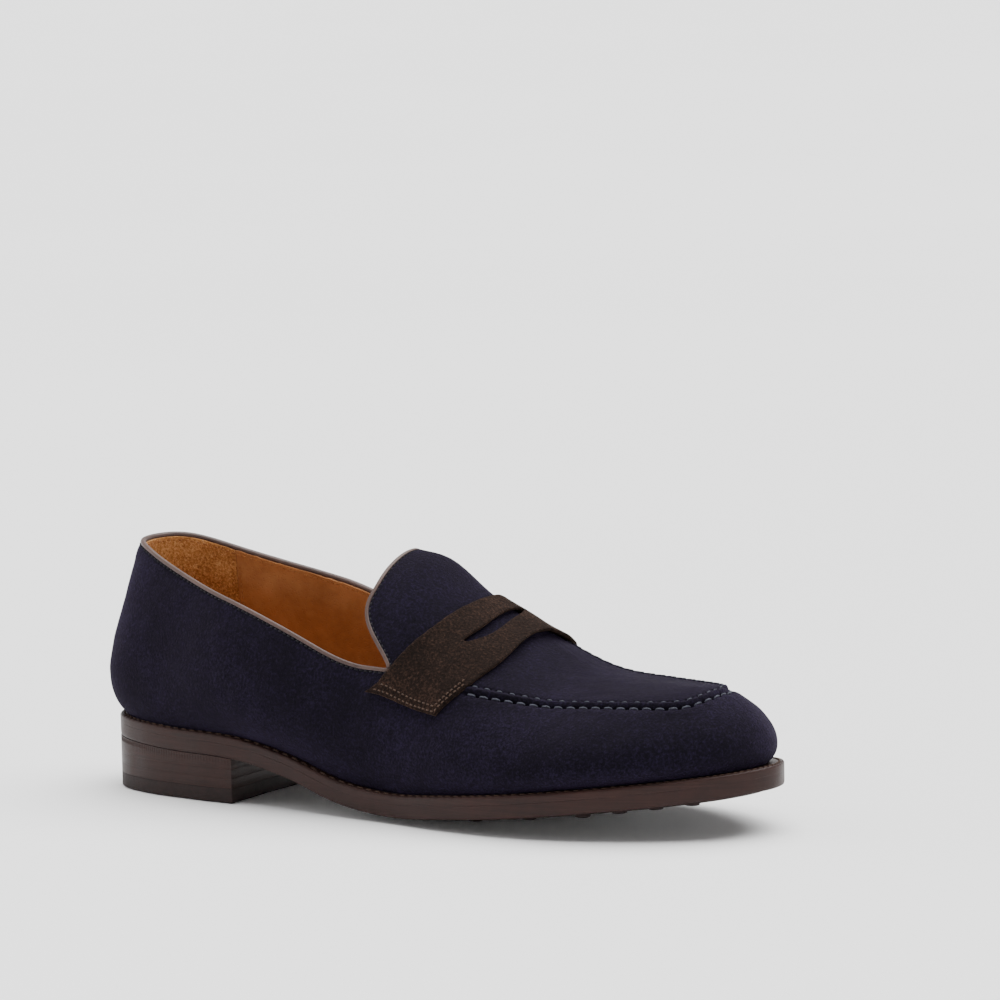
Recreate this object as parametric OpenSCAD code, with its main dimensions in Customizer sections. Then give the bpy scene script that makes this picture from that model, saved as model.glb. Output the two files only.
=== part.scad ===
// Penny loafer, right shoe: welted leather sole, stacked heel, suede upper with a split keeper strap.
// Working axes: X from heel to toe, -Y the outer (lateral) side, +Z up, ground at Z = 0.

/* [Size] */
// Length of the sole from the back of the heel to the toe
sole_length = 302; // [285:1:318]

/* [Sole] */
// Thickness of the sole edge: outsole and welt together
edge_t = 9; // [8:0.5:10]
// Thickness of the welt
welt_t = 3.4; // [2.8:0.2:4]
// Width of the welt strip, measured inwards from the sole edge
welt_w = 12; // [10:0.5:12]
// Thickness of the rubber tread under the forepart
tread_t = 1.3; // [1:0.1:1.3]
// Height of the studs on the tread
stud_h = 1.2; // [1.2:0.1:1.5]
// Radius of one stud
stud_r = 3; // [2:0.5:3.5]
// Thickness of the insole
insole_t = 2.4; // [1.8:0.2:2.6]
// Thickness of the sock liner
sock_t = 0.8; // [0.6:0.1:1]

/* [Heel] */
// Length of the heel from its back to its breast
heel_len = 73; // [66:1:74]
// Thickness of the rubber top piece that meets the ground
top_piece_t = 6; // [5:0.5:7]
// Thickness of each leather lift in the middle of the heel
lift_t = 4; // [3.5:0.5:4.5]
// Radius of the nails that hold the lifts
nail_r = 0.9; // [0.6:0.1:1.2]

/* [Upper] */
// Thickness of the suede
suede_t = 1.4; // [1:0.1:1.4]
// Thickness of the lining leather
lining_t = 1; // [0.7:0.1:1.1]
// Thickness of the heel counter and the toe puff
stiff_t = 1.2; // [0.8:0.1:1.2]
// Thickness of the keeper strap
strap_t = 1.7; // [1.3:0.1:2.2]
// How far the strap stands off the apron at its middle
strap_lift = 2; // [1:0.2:2.6]
// Width of the penny slot at its middle, in steps of the outline
slot_w = 0.17; // [0.12:0.01:0.2]
// Height of the binding along the top edges
binding_h = 1.6; // [1.2:0.2:2.4]

/* [Stitches] */
// Radius of the sewing thread
thread_r = 0.35; // [0.25:0.05:0.45]
// Radius of the heavier apron and welt thread
cord_r = 0.5; // [0.4:0.05:0.6]

/* [Hidden] */

base_length = 302;              // length at which the curves below are drawn
mid_x = 148.8;                  // middle of the shoe, measured from the back of the heel
mid_y = 0.6;
turns = 26;                     // points round the sole outline
toe = turns / 2;                // outline position of the toe
gap = 0.1;                      // clearance between pieces that lie face to face

// Outline of the sole edge: heel back, outer side, toe, inner side
outline_points = [
    [0, 0], [6, -18.5], [24, -29], [53, -34], [86, -36], [120, -40], [152, -44], [180, -49],
    [207, -51], [233, -48], [257, -40], [278, -29], [294, -16], [302, 2.5], [296, 20], [280, 33.5],
    [258, 44.5], [232, 50], [206, 51.5], [178, 45], [150, 37], [120, 31], [86, 32.5], [53, 33],
    [24, 29], [6, 18.5]
];
// Curves along the shoe, each a list of [x, value]
rise = [[0, 19.1], [40, 16.9], [75, 15.5], [100, 10.8], [130, 2.4], [155, 0], [180, 1.9], [210, 4.9],
        [240, 8.3], [270, 11.5], [302, 15.4]];
ridge_height = [[0, 139], [60, 124.5], [110, 112], [135, 102.5], [150, 98.5], [165, 85.5], [185, 73],
                [215, 58.4], [245, 55.2], [268, 55.2], [302, 57.2]];
ridge_side = [[0, 4.5], [140, 8], [175, 15.5], [205, 13.7], [235, 8.1], [265, 2], [302, 1.4]];
feather_inset = [[0, 3], [20, 3], [75, 3.5], [140, 4.5], [200, 5.5], [260, 6], [302, 6.5]];
bulge = [[0, 8.5], [30, 4], [80, 10.5], [140, 6], [200, 6], [260, 8], [302, 4]];
bulge_at = [[0, 0.17], [60, 0.25], [140, 0.3], [200, 0.27], [302, 0.37]];
side_power = [[0, 1.75], [60, 1.95], [140, 2], [200, 1.75], [260, 1.8], [302, 1.7]];
// Extra fullness of the inner side
inner_full = [[0, 1], [150, 1], [185, 0.96], [225, 1.07], [262, 1.08], [283, 1.13], [295, 1.02], [302, 1]];
height_power = [[0, 1.9], [60, 2.1], [140, 2.35], [200, 2.85], [260, 3.05], [302, 2.55]];
// Upper edge of the vamp and quarters, as [outline position, share of the way up to the ridge]
edge_outer = [[0, 0.495], [1.5, 0.485], [3.5, 0.39], [5.9, 0.33], [7.33, 0.408], [8.2, 0.488],
              [9.2, 0.549], [10.2, 0.573], [10.9, 0.577], [11.2, 0.594], [11.6, 0.645],
              [12.1, 0.683], [12.6, 0.711], [13, 0.722]];
edge_inner = [[13, 0.722], [13.6, 0.706], [14.3, 0.686], [15, 0.659], [16.5, 0.66], [17.7, 0.678],
              [18.7, 0.655], [19.4, 0.56], [20.1, 0.45], [22, 0.425], [24.5, 0.495], [26, 0.495]];
throat = 5.95;                  // outline position where the collar meets the tongue
// Back edge of the tongue, as [share of the way to the ridge, outline position]
tongue_edge = [[0, 5.95], [0.25, 5.44], [0.5, 5.43], [0.75, 5.46], [1, 5.48]];
// Edges of the keeper strap: [across, outline position], across = -1 outer side, 0 ridge, 1 inner side
strap_back = [[-0.755, 5.68], [-0.735, 5.79], [-0.68, 5.94], [-0.6, 6.08], [-0.41, 6.33], [-0.26, 6.46],
              [-0.1, 6.55], [0.1, 6.6], [0.3, 6.6], [0.5, 6.38], [0.64, 6.12], [0.68, 5.95]];
strap_front = [[-0.75, 6.88], [-0.6, 7.18], [-0.42, 7.4], [-0.1, 7.42], [0.1, 7.52], [0.3, 7.6],
               [0.5, 7.45], [0.68, 7.2]];
strap_ends = [-0.755, 0.68];
slot_ends = [-0.4, 0.16];
slot_middle = [[-0.4, 6.8], [-0.3, 6.93], [-0.1, 6.96], [0.16, 6.93]];

ridge_toe_from = 230;           // from here the ridge is drawn in towards the toe
ridge_heel_from = 60;           // and from here back it is drawn in towards the heel
margin_w = 6;                   // lasting margin turned in under the insole
ground_up = tread_t + stud_h;   // underside of the sole edge above the ground at the ball
lining_in = suede_t + gap;      // depth of the lining's outer face where nothing lies between
stiff_in = suede_t + gap;       // depth of the stiffeners' outer face
under_insole = lining_in + lining_t + gap;
insole_top = under_insole + insole_t;
grip_front = 2.45;              // outline position where the heel grip meets the quarter lining
lining_front = 7.2;             // outline position where quarter and vamp linings meet
counter_front = 3.5;            // outline position of the heel counter's front end
puff_back = 10.2;               // outline position of the toe puff's back edge

// ---- curves ----------------------------------------------------------------------------------
function clamp(v, lo, hi) = max(lo, min(hi, v));
function lerp(a, b, t) = a + (b - a) * t;
function unit(v) = v / max(norm(v), 0.000001);
function smooth(t) = let (c = clamp(t, 0, 1)) c * c * (3 - 2 * c);
function span(k, x, i = 0) = i >= len(k) - 2 || x < k[i + 1][0] ? i : span(k, x, i + 1);
function chord(k, i) = (k[i + 1][1] - k[i][1]) / (k[i + 1][0] - k[i][0]);
function slope(k, i) =
    i == 0 ? chord(k, 0)
    : i == len(k) - 1 ? chord(k, i - 1)
    : (chord(k, i - 1) * (k[i + 1][0] - k[i][0]) + chord(k, i) * (k[i][0] - k[i - 1][0]))
      / (k[i + 1][0] - k[i - 1][0]);
// Smooth curve through the knots k, held at its ends
function curve(k, x) =
    let (i = span(k, x), h = k[i + 1][0] - k[i][0], t = clamp((x - k[i][0]) / h, 0, 1))
    (2 * t * t * t - 3 * t * t + 1) * k[i][1] + (t * t * t - 2 * t * t + t) * h * slope(k, i)
    + (3 * t * t - 2 * t * t * t) * k[i + 1][1] + (t * t * t - t * t) * h * slope(k, i + 1);
function wrapped(i) = outline_points[(i + turns) % turns];
// Closed smooth outline, u from 0 at the heel back, round the outer side, to 26
function outline(u) =
    let (w = u % turns, i = floor(w), t = w - i, a = wrapped(i - 1), b = wrapped(i),
         c = wrapped(i + 1), d = wrapped(i + 2))
    0.5 * (2 * b + (c - a) * t + (2 * a - 5 * b + 4 * c - d) * t * t
           + (3 * b - a - 3 * c + d) * t * t * t);
// Outline moved inwards
function inset_outline(u, inset) =
    let (e = 0.01, d = unit(outline(u + e) - outline(u + turns - e)))
    outline(u) - inset * [d[1], -d[0]];
function feather(u, extra = 0) = inset_outline(u, curve(feather_inset, outline(u)[0]) + extra);

// ---- surface of the upper --------------------------------------------------------------------
function welt_top(x) = ground_up + edge_t + curve(rise, x);
function ridge_x(x) =
    let (front = max(x - ridge_toe_from, 0), back = max(ridge_heel_from - x, 0))
    x - front * front / (2 * (base_length - 6 - ridge_toe_from))
    + back * back / (2 * ridge_heel_from);
function ridge_slope(x) = curve(ridge_height, x + 0.5) - curve(ridge_height, x - 0.5);
// Point at outline position u, a share p of the way up from the feather line to the ridge.
// A negative p runs inwards under the insole, by margin_w at p = -1.
function skin(u, p) =
    p < 0 ? let (f = feather(u, -p * margin_w)) [f[0], f[1], welt_top(feather(u)[0])]
    : let (f = feather(u), x = f[0], rx = ridge_x(x), r = [rx, curve(ridge_side, rx)],
           rz = curve(ridge_height, rx), foot = welt_top(x), reach = f - r,
           full = u > toe ? curve(inner_full, x) : 1,
           c = pow(max(cos(90 * p), 0), 2 / (curve(side_power, x) * full)),
           h = pow(sin(90 * p), 2 / curve(height_power, x)), h0 = curve(bulge_at, x),
           swell = curve(bulge, x) * h / h0 * exp(1 - h / h0),
           q = r + reach * (c + swell / norm(reach)))
      [q[0], q[1], foot + (rz - foot) * h + ridge_slope(rx) * (q[0] - rx) * h * h];
// Point on a section across the shoe: w = -1 outer feather line, 0 ridge, 1 inner feather line
function across(u, w) =
    w == 0 ? (skin(u, 1) + skin(turns - u, 1)) / 2
    : skin(w < 0 ? u : turns - u, 1 - abs(w));
function edge(u) = u <= toe ? curve(edge_outer, u) : curve(edge_inner, u);
// The share p of an edge that lies a distance d below or above p, measured over the surface
function shifted(u, p, d) = p + d * 0.02 / max(norm(skin(u, p + 0.01) - skin(u, p - 0.01)), 0.01);

// ---- shells ----------------------------------------------------------------------------------
function step_i(g, i, j, ring, merged) =
    let (n = len(g), m = len(g[0]))
    ring ? g[(i + 1) % n][j] - g[(i + n - 1) % n][j]
    : merged && i == n - 1 && j != (m - 1) / 2
      ? (g[n - 2][m - 1 - j] - g[n - 2][j]) * (j < (m - 1) / 2 ? 1 : -1)
    : g[min(i + 1, n - 1)][j] - g[max(i - 1, 0)][j];
function step_j(g, i, j) = g[i][min(j + 1, len(g[0]) - 1)] - g[i][max(j - 1, 0)];
function flip(j, m, merged, i, n) = merged && i == n - 1 && j > (m - 1) / 2 ? m - 1 - j : j;
function normal_at(g, i, j, ring = false, merged = false) =
    let (n = len(g), m = len(g[0]), k = flip(j, m, merged, i, n),
         a = merged && i == n - 1 && k == (m - 1) / 2 ? i - 1 : i)
    unit(cross(step_i(g, a, k, ring, merged), step_j(g, a, k)));
// Grid g moved inwards by depth, a number or one number for each row across
function moved(g, depth, ring = false, merged = false) =
    [for (i = [0:len(g) - 1]) [for (j = [0:len(g[0]) - 1])
        let (k = flip(j, len(g[0]), merged, i, len(g)),
             d = is_list(depth) ? (is_list(depth[0]) ? depth[i][k] : depth[k]) : depth)
        g[i][k] - d * normal_at(g, i, k, ring, merged)]];
function quad(a, b, c, d) = [[a, d, c], [a, c, b]];
// Closed solid between an outer and an inner grid. ring joins the last column to the first;
// merged folds the last column onto itself at the middle row, as at a toe.
module between(outer, inner, ring = false, merged = false) {
    n = len(outer);
    m = len(outer[0]);
    count = n * m;
    cells = ring ? n - 1 : n - 2;
    function id(i, j) = (i % n) * m + flip(j, m, merged, i, n);
    faces = concat(
        [for (i = [0:cells], j = [0:m - 2])
            each quad(id(i, j), id(i + 1, j), id(i + 1, j + 1), id(i, j + 1))],
        [for (i = [0:cells], j = [0:m - 2])
            each quad(count + id(i, j), count + id(i, j + 1),
                count + id(i + 1, j + 1), count + id(i + 1, j))],
        [for (i = [0:cells])
            each quad(id(i, 0), count + id(i, 0), count + id(i + 1, 0), id(i + 1, 0))],
        [for (i = [0:cells])
            each quad(id(i, m - 1), id(i + 1, m - 1), count + id(i + 1, m - 1), count + id(i, m - 1))],
        ring ? [] : [for (j = [0:m - 2])
            each quad(id(0, j), id(0, j + 1), count + id(0, j + 1), count + id(0, j))],
        ring || merged ? [] : [for (j = [0:m - 2])
            each quad(id(n - 1, j), count + id(n - 1, j), count + id(n - 1, j + 1), id(n - 1, j + 1))]
    );
    polyhedron(points = concat([for (c = outer) each c], [for (c = inner) each c]), faces = faces);
}
module shell(g, depth, thickness, ring = false, merged = false) {
    inner = is_list(depth) ? [for (d = depth) is_list(d) ? [for (e = d) e + thickness] : d + thickness]
        : depth + thickness;
    between(moved(g, depth, ring, merged), moved(g, inner, ring, merged), ring, merged);
}
// Extra depth of the linings over the heel counter and over the toe puff
function stiff_depth(u, p) =
    let (x = outline(u)[0], heel = smooth((100 - x) / 24) * smooth((0.92 - p / edge(u)) / 0.2))
    (stiff_t + gap) * smooth(p / 0.08) * max(heel, smooth((x - 228) / 24));
function steps(a, b, n) = [for (i = [0:n]) lerp(a, b, i / n)];

// ---- sole helpers ----------------------------------------------------------------------------
module placed() scale(sole_length / base_length) translate([-mid_x, -mid_y, 0]) children();
module plan(inset, count = 104) polygon([for (i = [0:count - 1]) inset_outline(turns * i / count, inset)]);
module feather_plan(extra, count = 104)
    polygon([for (i = [0:count - 1]) feather(turns * i / count, extra)]);
// Everything between two heights measured from the welt's top face
module band(low, high, from = -10, to = 312) {
    xs = steps(from, to, 34);
    translate([0, 80, 0]) rotate([90, 0, 0]) linear_extrude(160) polygon(concat(
        [for (x = xs) [x, max(welt_top(x) + low, 0)]],
        [for (i = [len(xs) - 1:-1:0]) [xs[i], max(welt_top(xs[i]) + high, 0.001)]]));
}
module sole_layer(low, high) intersection() {
    band(low, high);
    linear_extrude(60) children();
}
// A stitch or pin: a straight rod between two points
module rod(a, b, r) {
    d = b - a;
    translate(a) rotate([0, acos(d[2] / norm(d)), atan2(d[1], d[0])])
        cylinder(h = norm(d), r = r, $fn = 16);
}
// One stitch of every pair of points, shortened at both ends and lying on the surface
module stitches(points, r, fill = 0.7) {
    for (i = [0:len(points) - 2]) {
        middle = (points[i] + points[i + 1]) / 2;
        half = (points[i + 1] - points[i]) / 2 * fill;
        rod(middle - half, middle + half, r);
    }
}
function skin_normal(u, p) =
    unit(cross(skin(u + 0.02, p) - skin(u - 0.02, p), skin(u, p + 0.004) - skin(u, p - 0.004)));
// Point above the surface by h
function above(u, p, h) = skin(u, p) + h * skin_normal(u, p);

// ---- sole ------------------------------------------------------------------------------------
nail_places = [[14, 0], [24, -17], [24, 17], [42, -21], [42, 21], [60, -20], [60, 20]];
pin_places = [[9, 9], [9, -9], [33, -23], [33, 23], [64, -12], [64, 12], [64, 0]];
nail_bottom = top_piece_t + 2;
pin_top = top_piece_t + 4;

module nail_holes(r, low, high, places) {
    for (p = places) translate([p[0], p[1], low]) cylinder(h = high - low, r = r, $fn = 32);
}
module outsole() placed() color("#3a2a24") difference() {
    sole_layer(-edge_t, -welt_t - gap / 2) plan(0);
    nail_holes(nail_r, 0, 60, nail_places);
}
module welt() placed() color("#2f2320") sole_layer(-welt_t, 0) difference() {
    plan(0);
    plan(welt_w);
}
module welt_stitching() placed() color("#4a3a30") {
    count = 180;
    points = [for (i = [0:count]) let (u = turns * i / count, o = inset_outline(u, 1.9))
        [o[0], o[1], welt_top(o[0]) + cord_r + 0.02]];
    stitches(points, cord_r, 0.72);
}
tread_inset = 7;                // from the sole edge to the edge of the tread
tread_back = 120;               // where the tread starts, measured from the back of the heel
stud_pitch = 14;
// Sides of the sole edge as curves of x
outer_side = [for (i = [0:toe]) outline_points[i]];
inner_side = [for (i = [0:toe]) wrapped(turns - i)];
module tread_plan() difference() {
    plan(tread_inset);
    translate([tread_back - 140, -80]) square([140, 160]);
}
module stud(x, y) {
    root = welt_top(x) - edge_t - tread_t;
    tip = max(root - stud_h, 0);
    translate([x, y, tip]) cylinder(h = root - tip + 0.3, r = stud_r, $fn = 32);
}
module forepart_rubber() placed() color("#1d1a19") {
    sole_layer(-edge_t - tread_t, -edge_t - 0.02) tread_plan();
    for (i = [0:12], j = [-4:4]) {
        x = tread_back + 8 + i * stud_pitch * 0.87;
        y = (j + (i % 2) / 2) * stud_pitch;
        rim = tread_inset + stud_r + 1.5;
        if (y > curve(outer_side, x) + rim && y < curve(inner_side, x) - rim && x < 286) stud(x, y);
    }
}
module heel_plan() intersection() {
    plan(0);
    translate([-10, -60]) square([10 + heel_len, 120]);
}
lift_low = top_piece_t + 0.02;
lift_mid = lift_low + lift_t;
lift_high = lift_mid + lift_t;
module heel_block(low, high) translate([0, 0, low]) linear_extrude(high - low - 0.02) heel_plan();
module heel_lift_upper() placed() color("#3a2a24") difference() {
    intersection() {
        band(-40, -edge_t - 0.02);
        heel_block(lift_high, 40);
    }
    nail_holes(nail_r, 0, 60, nail_places);
}
module heel_lift_middle() placed() color("#38281f") difference() {
    heel_block(lift_mid, lift_high);
    nail_holes(nail_r, 0, 60, nail_places);
}
module heel_lift_lower() placed() color("#34251e") difference() {
    heel_block(lift_low, lift_mid);
    nail_holes(nail_r, nail_bottom, 60, nail_places);
    nail_holes(nail_r, 0, pin_top, pin_places);
}
module heel_top_piece() placed() color("#1b1817") difference() {
    heel_block(0, top_piece_t + 0.02);
    nail_holes(nail_r, 0.5, 60, pin_places);
}
module heel_nails() placed() color("silver") {
    for (p = nail_places) translate([p[0], p[1], nail_bottom])
        cylinder(h = welt_top(p[0]) - welt_t - 0.4 - nail_bottom, r = nail_r, $fn = 32);
}
module top_piece_pins() placed() color("#b08a45") nail_holes(nail_r, 0.5, pin_top, pin_places);
module insole() placed() color("#b98b5e") sole_layer(under_insole, insole_top - 0.05) feather_plan(2.4);
module insole_rib() placed() color("#a67c52") sole_layer(-1, under_insole - 0.05) difference() {
    plan(welt_w + 0.4);
    plan(welt_w + 2.2);
}
module shank_plan() hull() {
    translate([50, 0]) circle(r = 7, $fn = 32);
    translate([158, -1]) circle(r = 7, $fn = 32);
}
module shank() placed() color("silver") intersection() {
    band(0.3, 1.6);
    linear_extrude(60) shank_plan();
}
module cork_filler() placed() color("#9c6b3d") difference() {
    sole_layer(-welt_t, under_insole - 0.05) plan(welt_w + 2.7);
    intersection() {
        band(0.25, 20);
        linear_extrude(60) shank_plan();
    }
}
module sock_liner() placed() color("#c47f3a") sole_layer(insole_top, insole_top + sock_t) feather_plan(2);

// ---- upper -----------------------------------------------------------------------------------
wall_rows = [0, 0.06, 0.14, 0.25, 0.4, 0.56, 0.72, 0.87, 1];
binding_step = 0.1;             // width of the tongue binding, in steps of the outline
seam_gap = 0.003;               // share of the height left open between two butted pieces
function position(v) = v < 0 ? v + turns : v;
function in_collar(u) = u < throat || u > turns - throat;
// Highest share reached by a piece that ends just under the collar binding
function wall_top(u) = (in_collar(u) ? shifted(u, edge(u), -binding_h) : edge(u)) - seam_gap;
// Columns us of a wall that rises from the turned-in margin to the binding
function wall(us) = [for (u = us) concat([skin(u, -1), skin(u, -0.5)],
    [for (r = wall_rows) skin(u, r * wall_top(u))])];
function wall_depth(us) = [for (u = us) concat([lining_in, lining_in],
    [for (r = wall_rows) lining_in + stiff_depth(u, r * wall_top(u))])];
// Sections across the front, from the back edge to the toe; low(u) is where they start
function sections(back, ws, columns, low, last = toe) =
    [for (i = [0:columns]) [for (w = ws)
        let (u = lerp(curve(back, 1 - min(abs(w), 1)), last, i / columns), side = w > 0 ? turns - u : u)
        across(u, w * (1 - low(side)))]];
function mirrored(list) = concat([for (i = [len(list) - 1:-1:0]) -list[i]], [0], list);
from_edge = function(u) edge(u) + seam_gap;
from_feather = function(u) 0;
tongue_cut = [for (k = tongue_edge) [k[0], k[1] + (k[0] == 0 ? 0.03 : binding_step + 0.01)]];
module vamp_and_quarters() placed() color("midnightblue")
    shell(wall(steps(0.004, turns - 0.004, 84)), 0, suede_t);
module apron_and_tongue() placed() color("#1f2547")
    shell(sections(tongue_cut, mirrored(steps(0.125, 1, 7)), 38, from_edge), 0, suede_t, merged = true);
// Row of points along the apron seam, d millimetres above or below it
function seam_row(d, from, to, count, h) =
    [for (i = [0:count]) let (u = lerp(from, to, i / count)) above(u, shifted(u, edge(u), d), h)];
module apron_stitching() placed() color("#6d7a96") {
    stitches(seam_row(2.7, 7.25, turns - 7.35, 56, cord_r + 0.1), cord_r);
    stitches(seam_row(-1.3, 7.15, turns - 7.3, 56, cord_r + 0.1), cord_r, 0.8);
}
// Strap: columns run across the shoe from the inner side to the outer; rows run from its back edge
// over the slot to its front edge
function strap_w(i, n) = lerp(strap_ends[1], strap_ends[0], i / n);
// Height of the strap's inner face above the apron, r = 0 at its back edge and 1 at its front edge
function strap_height(w, r) =
    let (arch = pow(max(0, 1 - pow(abs(w - 0.02) / 0.6, 2)), 1.5))
    gap * 2 + strap_lift * arch * lerp(0.15, 1, pow(r, 1.3));
function slot_half(w) =
    let (t = (w - slot_ends[0]) / (slot_ends[1] - slot_ends[0]))
    t <= 0 || t >= 1 ? 0 : slot_w / 2 * pow(sin(180 * pow(t, 0.6)), 0.8);
function strap_point(w, r) =
    let (back = curve(strap_back, w), front = curve(strap_front, w), middle = curve(slot_middle, w),
         half = slot_half(w), a = middle - half, b = middle + half)
    across(r < 0.5 ? lerp(back, a, r * 2) : lerp(b, front, r * 2 - 1), w == 0 ? 0.0001 : w);
module penny_strap() placed() color("#3d2c25") strap_solid();
module strap_solid() {
    n = 44;
    rows = [0, 0.17, 0.34, 0.5, 0.5, 0.67, 0.84, 1];
    m = len(rows);
    slot_row = 3;
    g = [for (i = [0:n]) let (w = strap_w(i, n)) [for (j = [0:m - 1])
        strap_point(w, rows[j] + (j == slot_row ? -0.0001 : j == slot_row + 1 ? 0.0001 : 0))]];
    // normals come from a grid without the slot, so both sides of the slot share one direction
    plain = [for (i = [0:n]) let (w = strap_w(i, n), a = curve(strap_back, w), b = curve(strap_front, w))
        [for (j = [0:m - 1]) across(lerp(a, b, j / (m - 1)), w == 0 ? 0.0001 : w)]];
    function face(h, i, j) = g[i][j] + (strap_height(strap_w(i, n), rows[j]) + h) * normal_at(plain, i, j);
    count = (n + 1) * m;
    function is_open(i) = slot_half(strap_w(i, n)) > 0.0001;
    function id(i, j) = i * m + (j == slot_row + 1 && !is_open(i) ? slot_row : j);
    cells = [for (i = [0:n - 1], j = [0:m - 2]) if (j != slot_row) [i, j]];
    // outer and inner face of one cell, and the walls between two neighbours on a row or a column
    function top(i, j) = quad(id(i, j), id(i + 1, j), id(i + 1, j + 1), id(i, j + 1));
    function under(i, j) =
        quad(count + id(i, j), count + id(i, j + 1), count + id(i + 1, j + 1), count + id(i + 1, j));
    function wall_a(i, j) = quad(id(i, j), count + id(i, j), count + id(i + 1, j), id(i + 1, j));
    function wall_b(i, j) = quad(id(i, j), id(i + 1, j), count + id(i + 1, j), count + id(i, j));
    function end_a(j) = quad(id(0, j), id(0, j + 1), count + id(0, j + 1), count + id(0, j));
    function end_b(j) = quad(id(n, j), count + id(n, j), count + id(n, j + 1), id(n, j + 1));
    open_cells = [for (i = [0:n - 1]) if (is_open(i) || is_open(i + 1)) i];
    faces = concat(
        [for (c = cells) each top(c[0], c[1])],
        [for (c = cells) each under(c[0], c[1])],
        [for (i = [0:n - 1]) each wall_a(i, 0)],
        [for (i = [0:n - 1]) each wall_b(i, m - 1)],
        [for (j = [0:m - 2]) if (j != slot_row) each end_a(j)],
        [for (j = [0:m - 2]) if (j != slot_row) each end_b(j)],
        [for (i = open_cells) each wall_b(i, slot_row)],
        [for (i = open_cells) each wall_a(i, slot_row + 1)]
    );
    polyhedron(
        points = concat(
            [for (i = [0:n], j = [0:m - 1]) face(strap_t, i, j)],
            [for (i = [0:n], j = [0:m - 1]) face(0, i, j)]),
        faces = faces);
}
// Point h above the strap's outer face
function on_strap(w, u, h) =
    across(u, w) + (strap_height(w, 0.5) + strap_t + h) * skin_normal(w < 0 ? u : turns - u, 1 - abs(w));
module strap_end_rows(w_end, inwards) {
    for (row = [1, 2]) {
        w = w_end + inwards * row * 0.028;
        first = curve(strap_back, w) + 0.1;
        last = curve(strap_front, w) - 0.06 * row;
        stitches([for (i = [0:10]) on_strap(w, lerp(first, last, i / 10), thread_r + 0.02)], thread_r);
        side = [for (i = [0:4]) let (v = w + inwards * i * 0.03)
            on_strap(v, curve(strap_front, v) - 0.06 * row, thread_r + 0.02)];
        stitches(side, thread_r);
    }
}
module strap_stitching() placed() color("#7a5b45") {
    strap_end_rows(strap_ends[0], 1);
    strap_end_rows(strap_ends[1], -1);
}
binding_proud = 0.3;
sandwich_t = suede_t + lining_t + 2 * gap + binding_proud;
module collar_binding() placed() color("#7d7069") {
    us = [for (v = steps(-throat + 0.06, throat - 0.06, 60)) position(v)];
    g = [for (u = us) let (low = wall_top(u) + seam_gap)
        [for (r = [0, 0.5, 1]) skin(u, lerp(low, edge(u), r))]];
    shell(g, -binding_proud, sandwich_t);
}
// Point of the tongue's back edge: w from 1 on the inner side to -1 on the outer, d steps further forward
function tongue_point(w, d) =
    let (u = curve(tongue_edge, 1 - abs(w)) + d, side = w > 0 ? turns - u : u)
    [w > 0 ? turns - u : u, lerp(1, edge(side) + seam_gap, abs(w))];
tongue_ws = steps(0.93, -0.93, 30);
module tongue_binding() placed() color("#7d7069") {
    g = [for (w = tongue_ws) [for (d = [0, binding_step]) let (q = tongue_point(w, d))
        abs(w) < 0.001 ? skin(q[0], 1) : skin(q[0], q[1])]];
    shell(g, -binding_proud, sandwich_t);
}
module binding_stitching() placed() color("#262033") {
    count = 96;
    collar = [for (i = [0:count]) let (u = position(lerp(0.12 - throat, throat - 0.12, i / count)))
        above(u, shifted(u, wall_top(u), -1.2), thread_r + 0.02)];
    stitches(collar, thread_r);
    for (side = [-1, 1]) {
        row = [for (i = [0:14]) let (q = tongue_point(side * lerp(0.88, 0.12, i / 14), binding_step + 0.06))
            above(q[0], q[1], thread_r + 0.02)];
        stitches(row, thread_r);
    }
}
module quarter_lining() placed() color("#cf8436") {
    outer = steps(grip_front + 0.01, lining_front - 0.01, 22);
    inner = steps(turns - lining_front + 0.01, turns - grip_front - 0.01, 22);
    for (us = [outer, inner]) shell(wall(us), wall_depth(us), lining_t);
}
module heel_grip() placed() color("#b87a3f") {
    us = [for (v = steps(-grip_front, grip_front, 30)) position(v)];
    shell(wall(us), wall_depth(us), lining_t);
}
full_rows = [0.12, 0.26, 0.42, 0.58, 0.72, 0.84, 0.93, 1, 1.5, 2];
module vamp_lining() placed() color("#c9a06c") {
    columns = 24;
    ws = mirrored(full_rows);
    back = [[0, lining_front + 0.01], [1, lining_front + 0.01]];
    depth = [for (i = [0:columns]) [for (w = ws) let (u = lerp(back[0][1], toe, i / columns))
        lining_in + stiff_depth(w > 0 ? turns - u : u, max(1 - abs(w), 0))]];
    shell(sections(back, ws, columns, from_feather), depth, lining_t, merged = true);
}
module tongue_lining() placed() color("#cf8436")
    shell(sections(tongue_cut, mirrored(steps(0.125, 1, 7)), 14, from_edge, lining_front - 0.01),
        lining_in, lining_t);
// Point just inside the linings
function inside(u, p) = above(u, p, -(lining_in + stiff_depth(u, p) + lining_t + thread_r + 0.02));
module lining_stitching() placed() color("#9a6a33") {
    count = 84;
    top = [for (i = [0:count]) let (u = position(lerp(0.2 - throat, throat - 0.2, i / count)))
        inside(u, shifted(u, wall_top(u), -1.4))];
    stitches(top, thread_r);
    for (u = [grip_front + 0.06, turns - grip_front - 0.06])
        stitches([for (i = [0:14]) inside(u, lerp(0.1, 0.88, i / 14) * edge(u))], thread_r);
}
module toe_puff() placed() color("#e0d6c2")
    shell(sections([[0, puff_back], [1, puff_back]], mirrored([0.15, 0.32, 0.5, 0.66, 0.8, 0.9]), 12,
        from_feather), stiff_in, stiff_t, merged = true);
module heel_counter() placed() color("#d8c7a4") {
    us = [for (v = steps(-counter_front, counter_front, 26)) position(v)];
    g = [for (u = us) [for (p = steps(0.09, 0.66 * edge(u), 5)) skin(u, p)]];
    shell(g, stiff_in, stiff_t);
}

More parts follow.
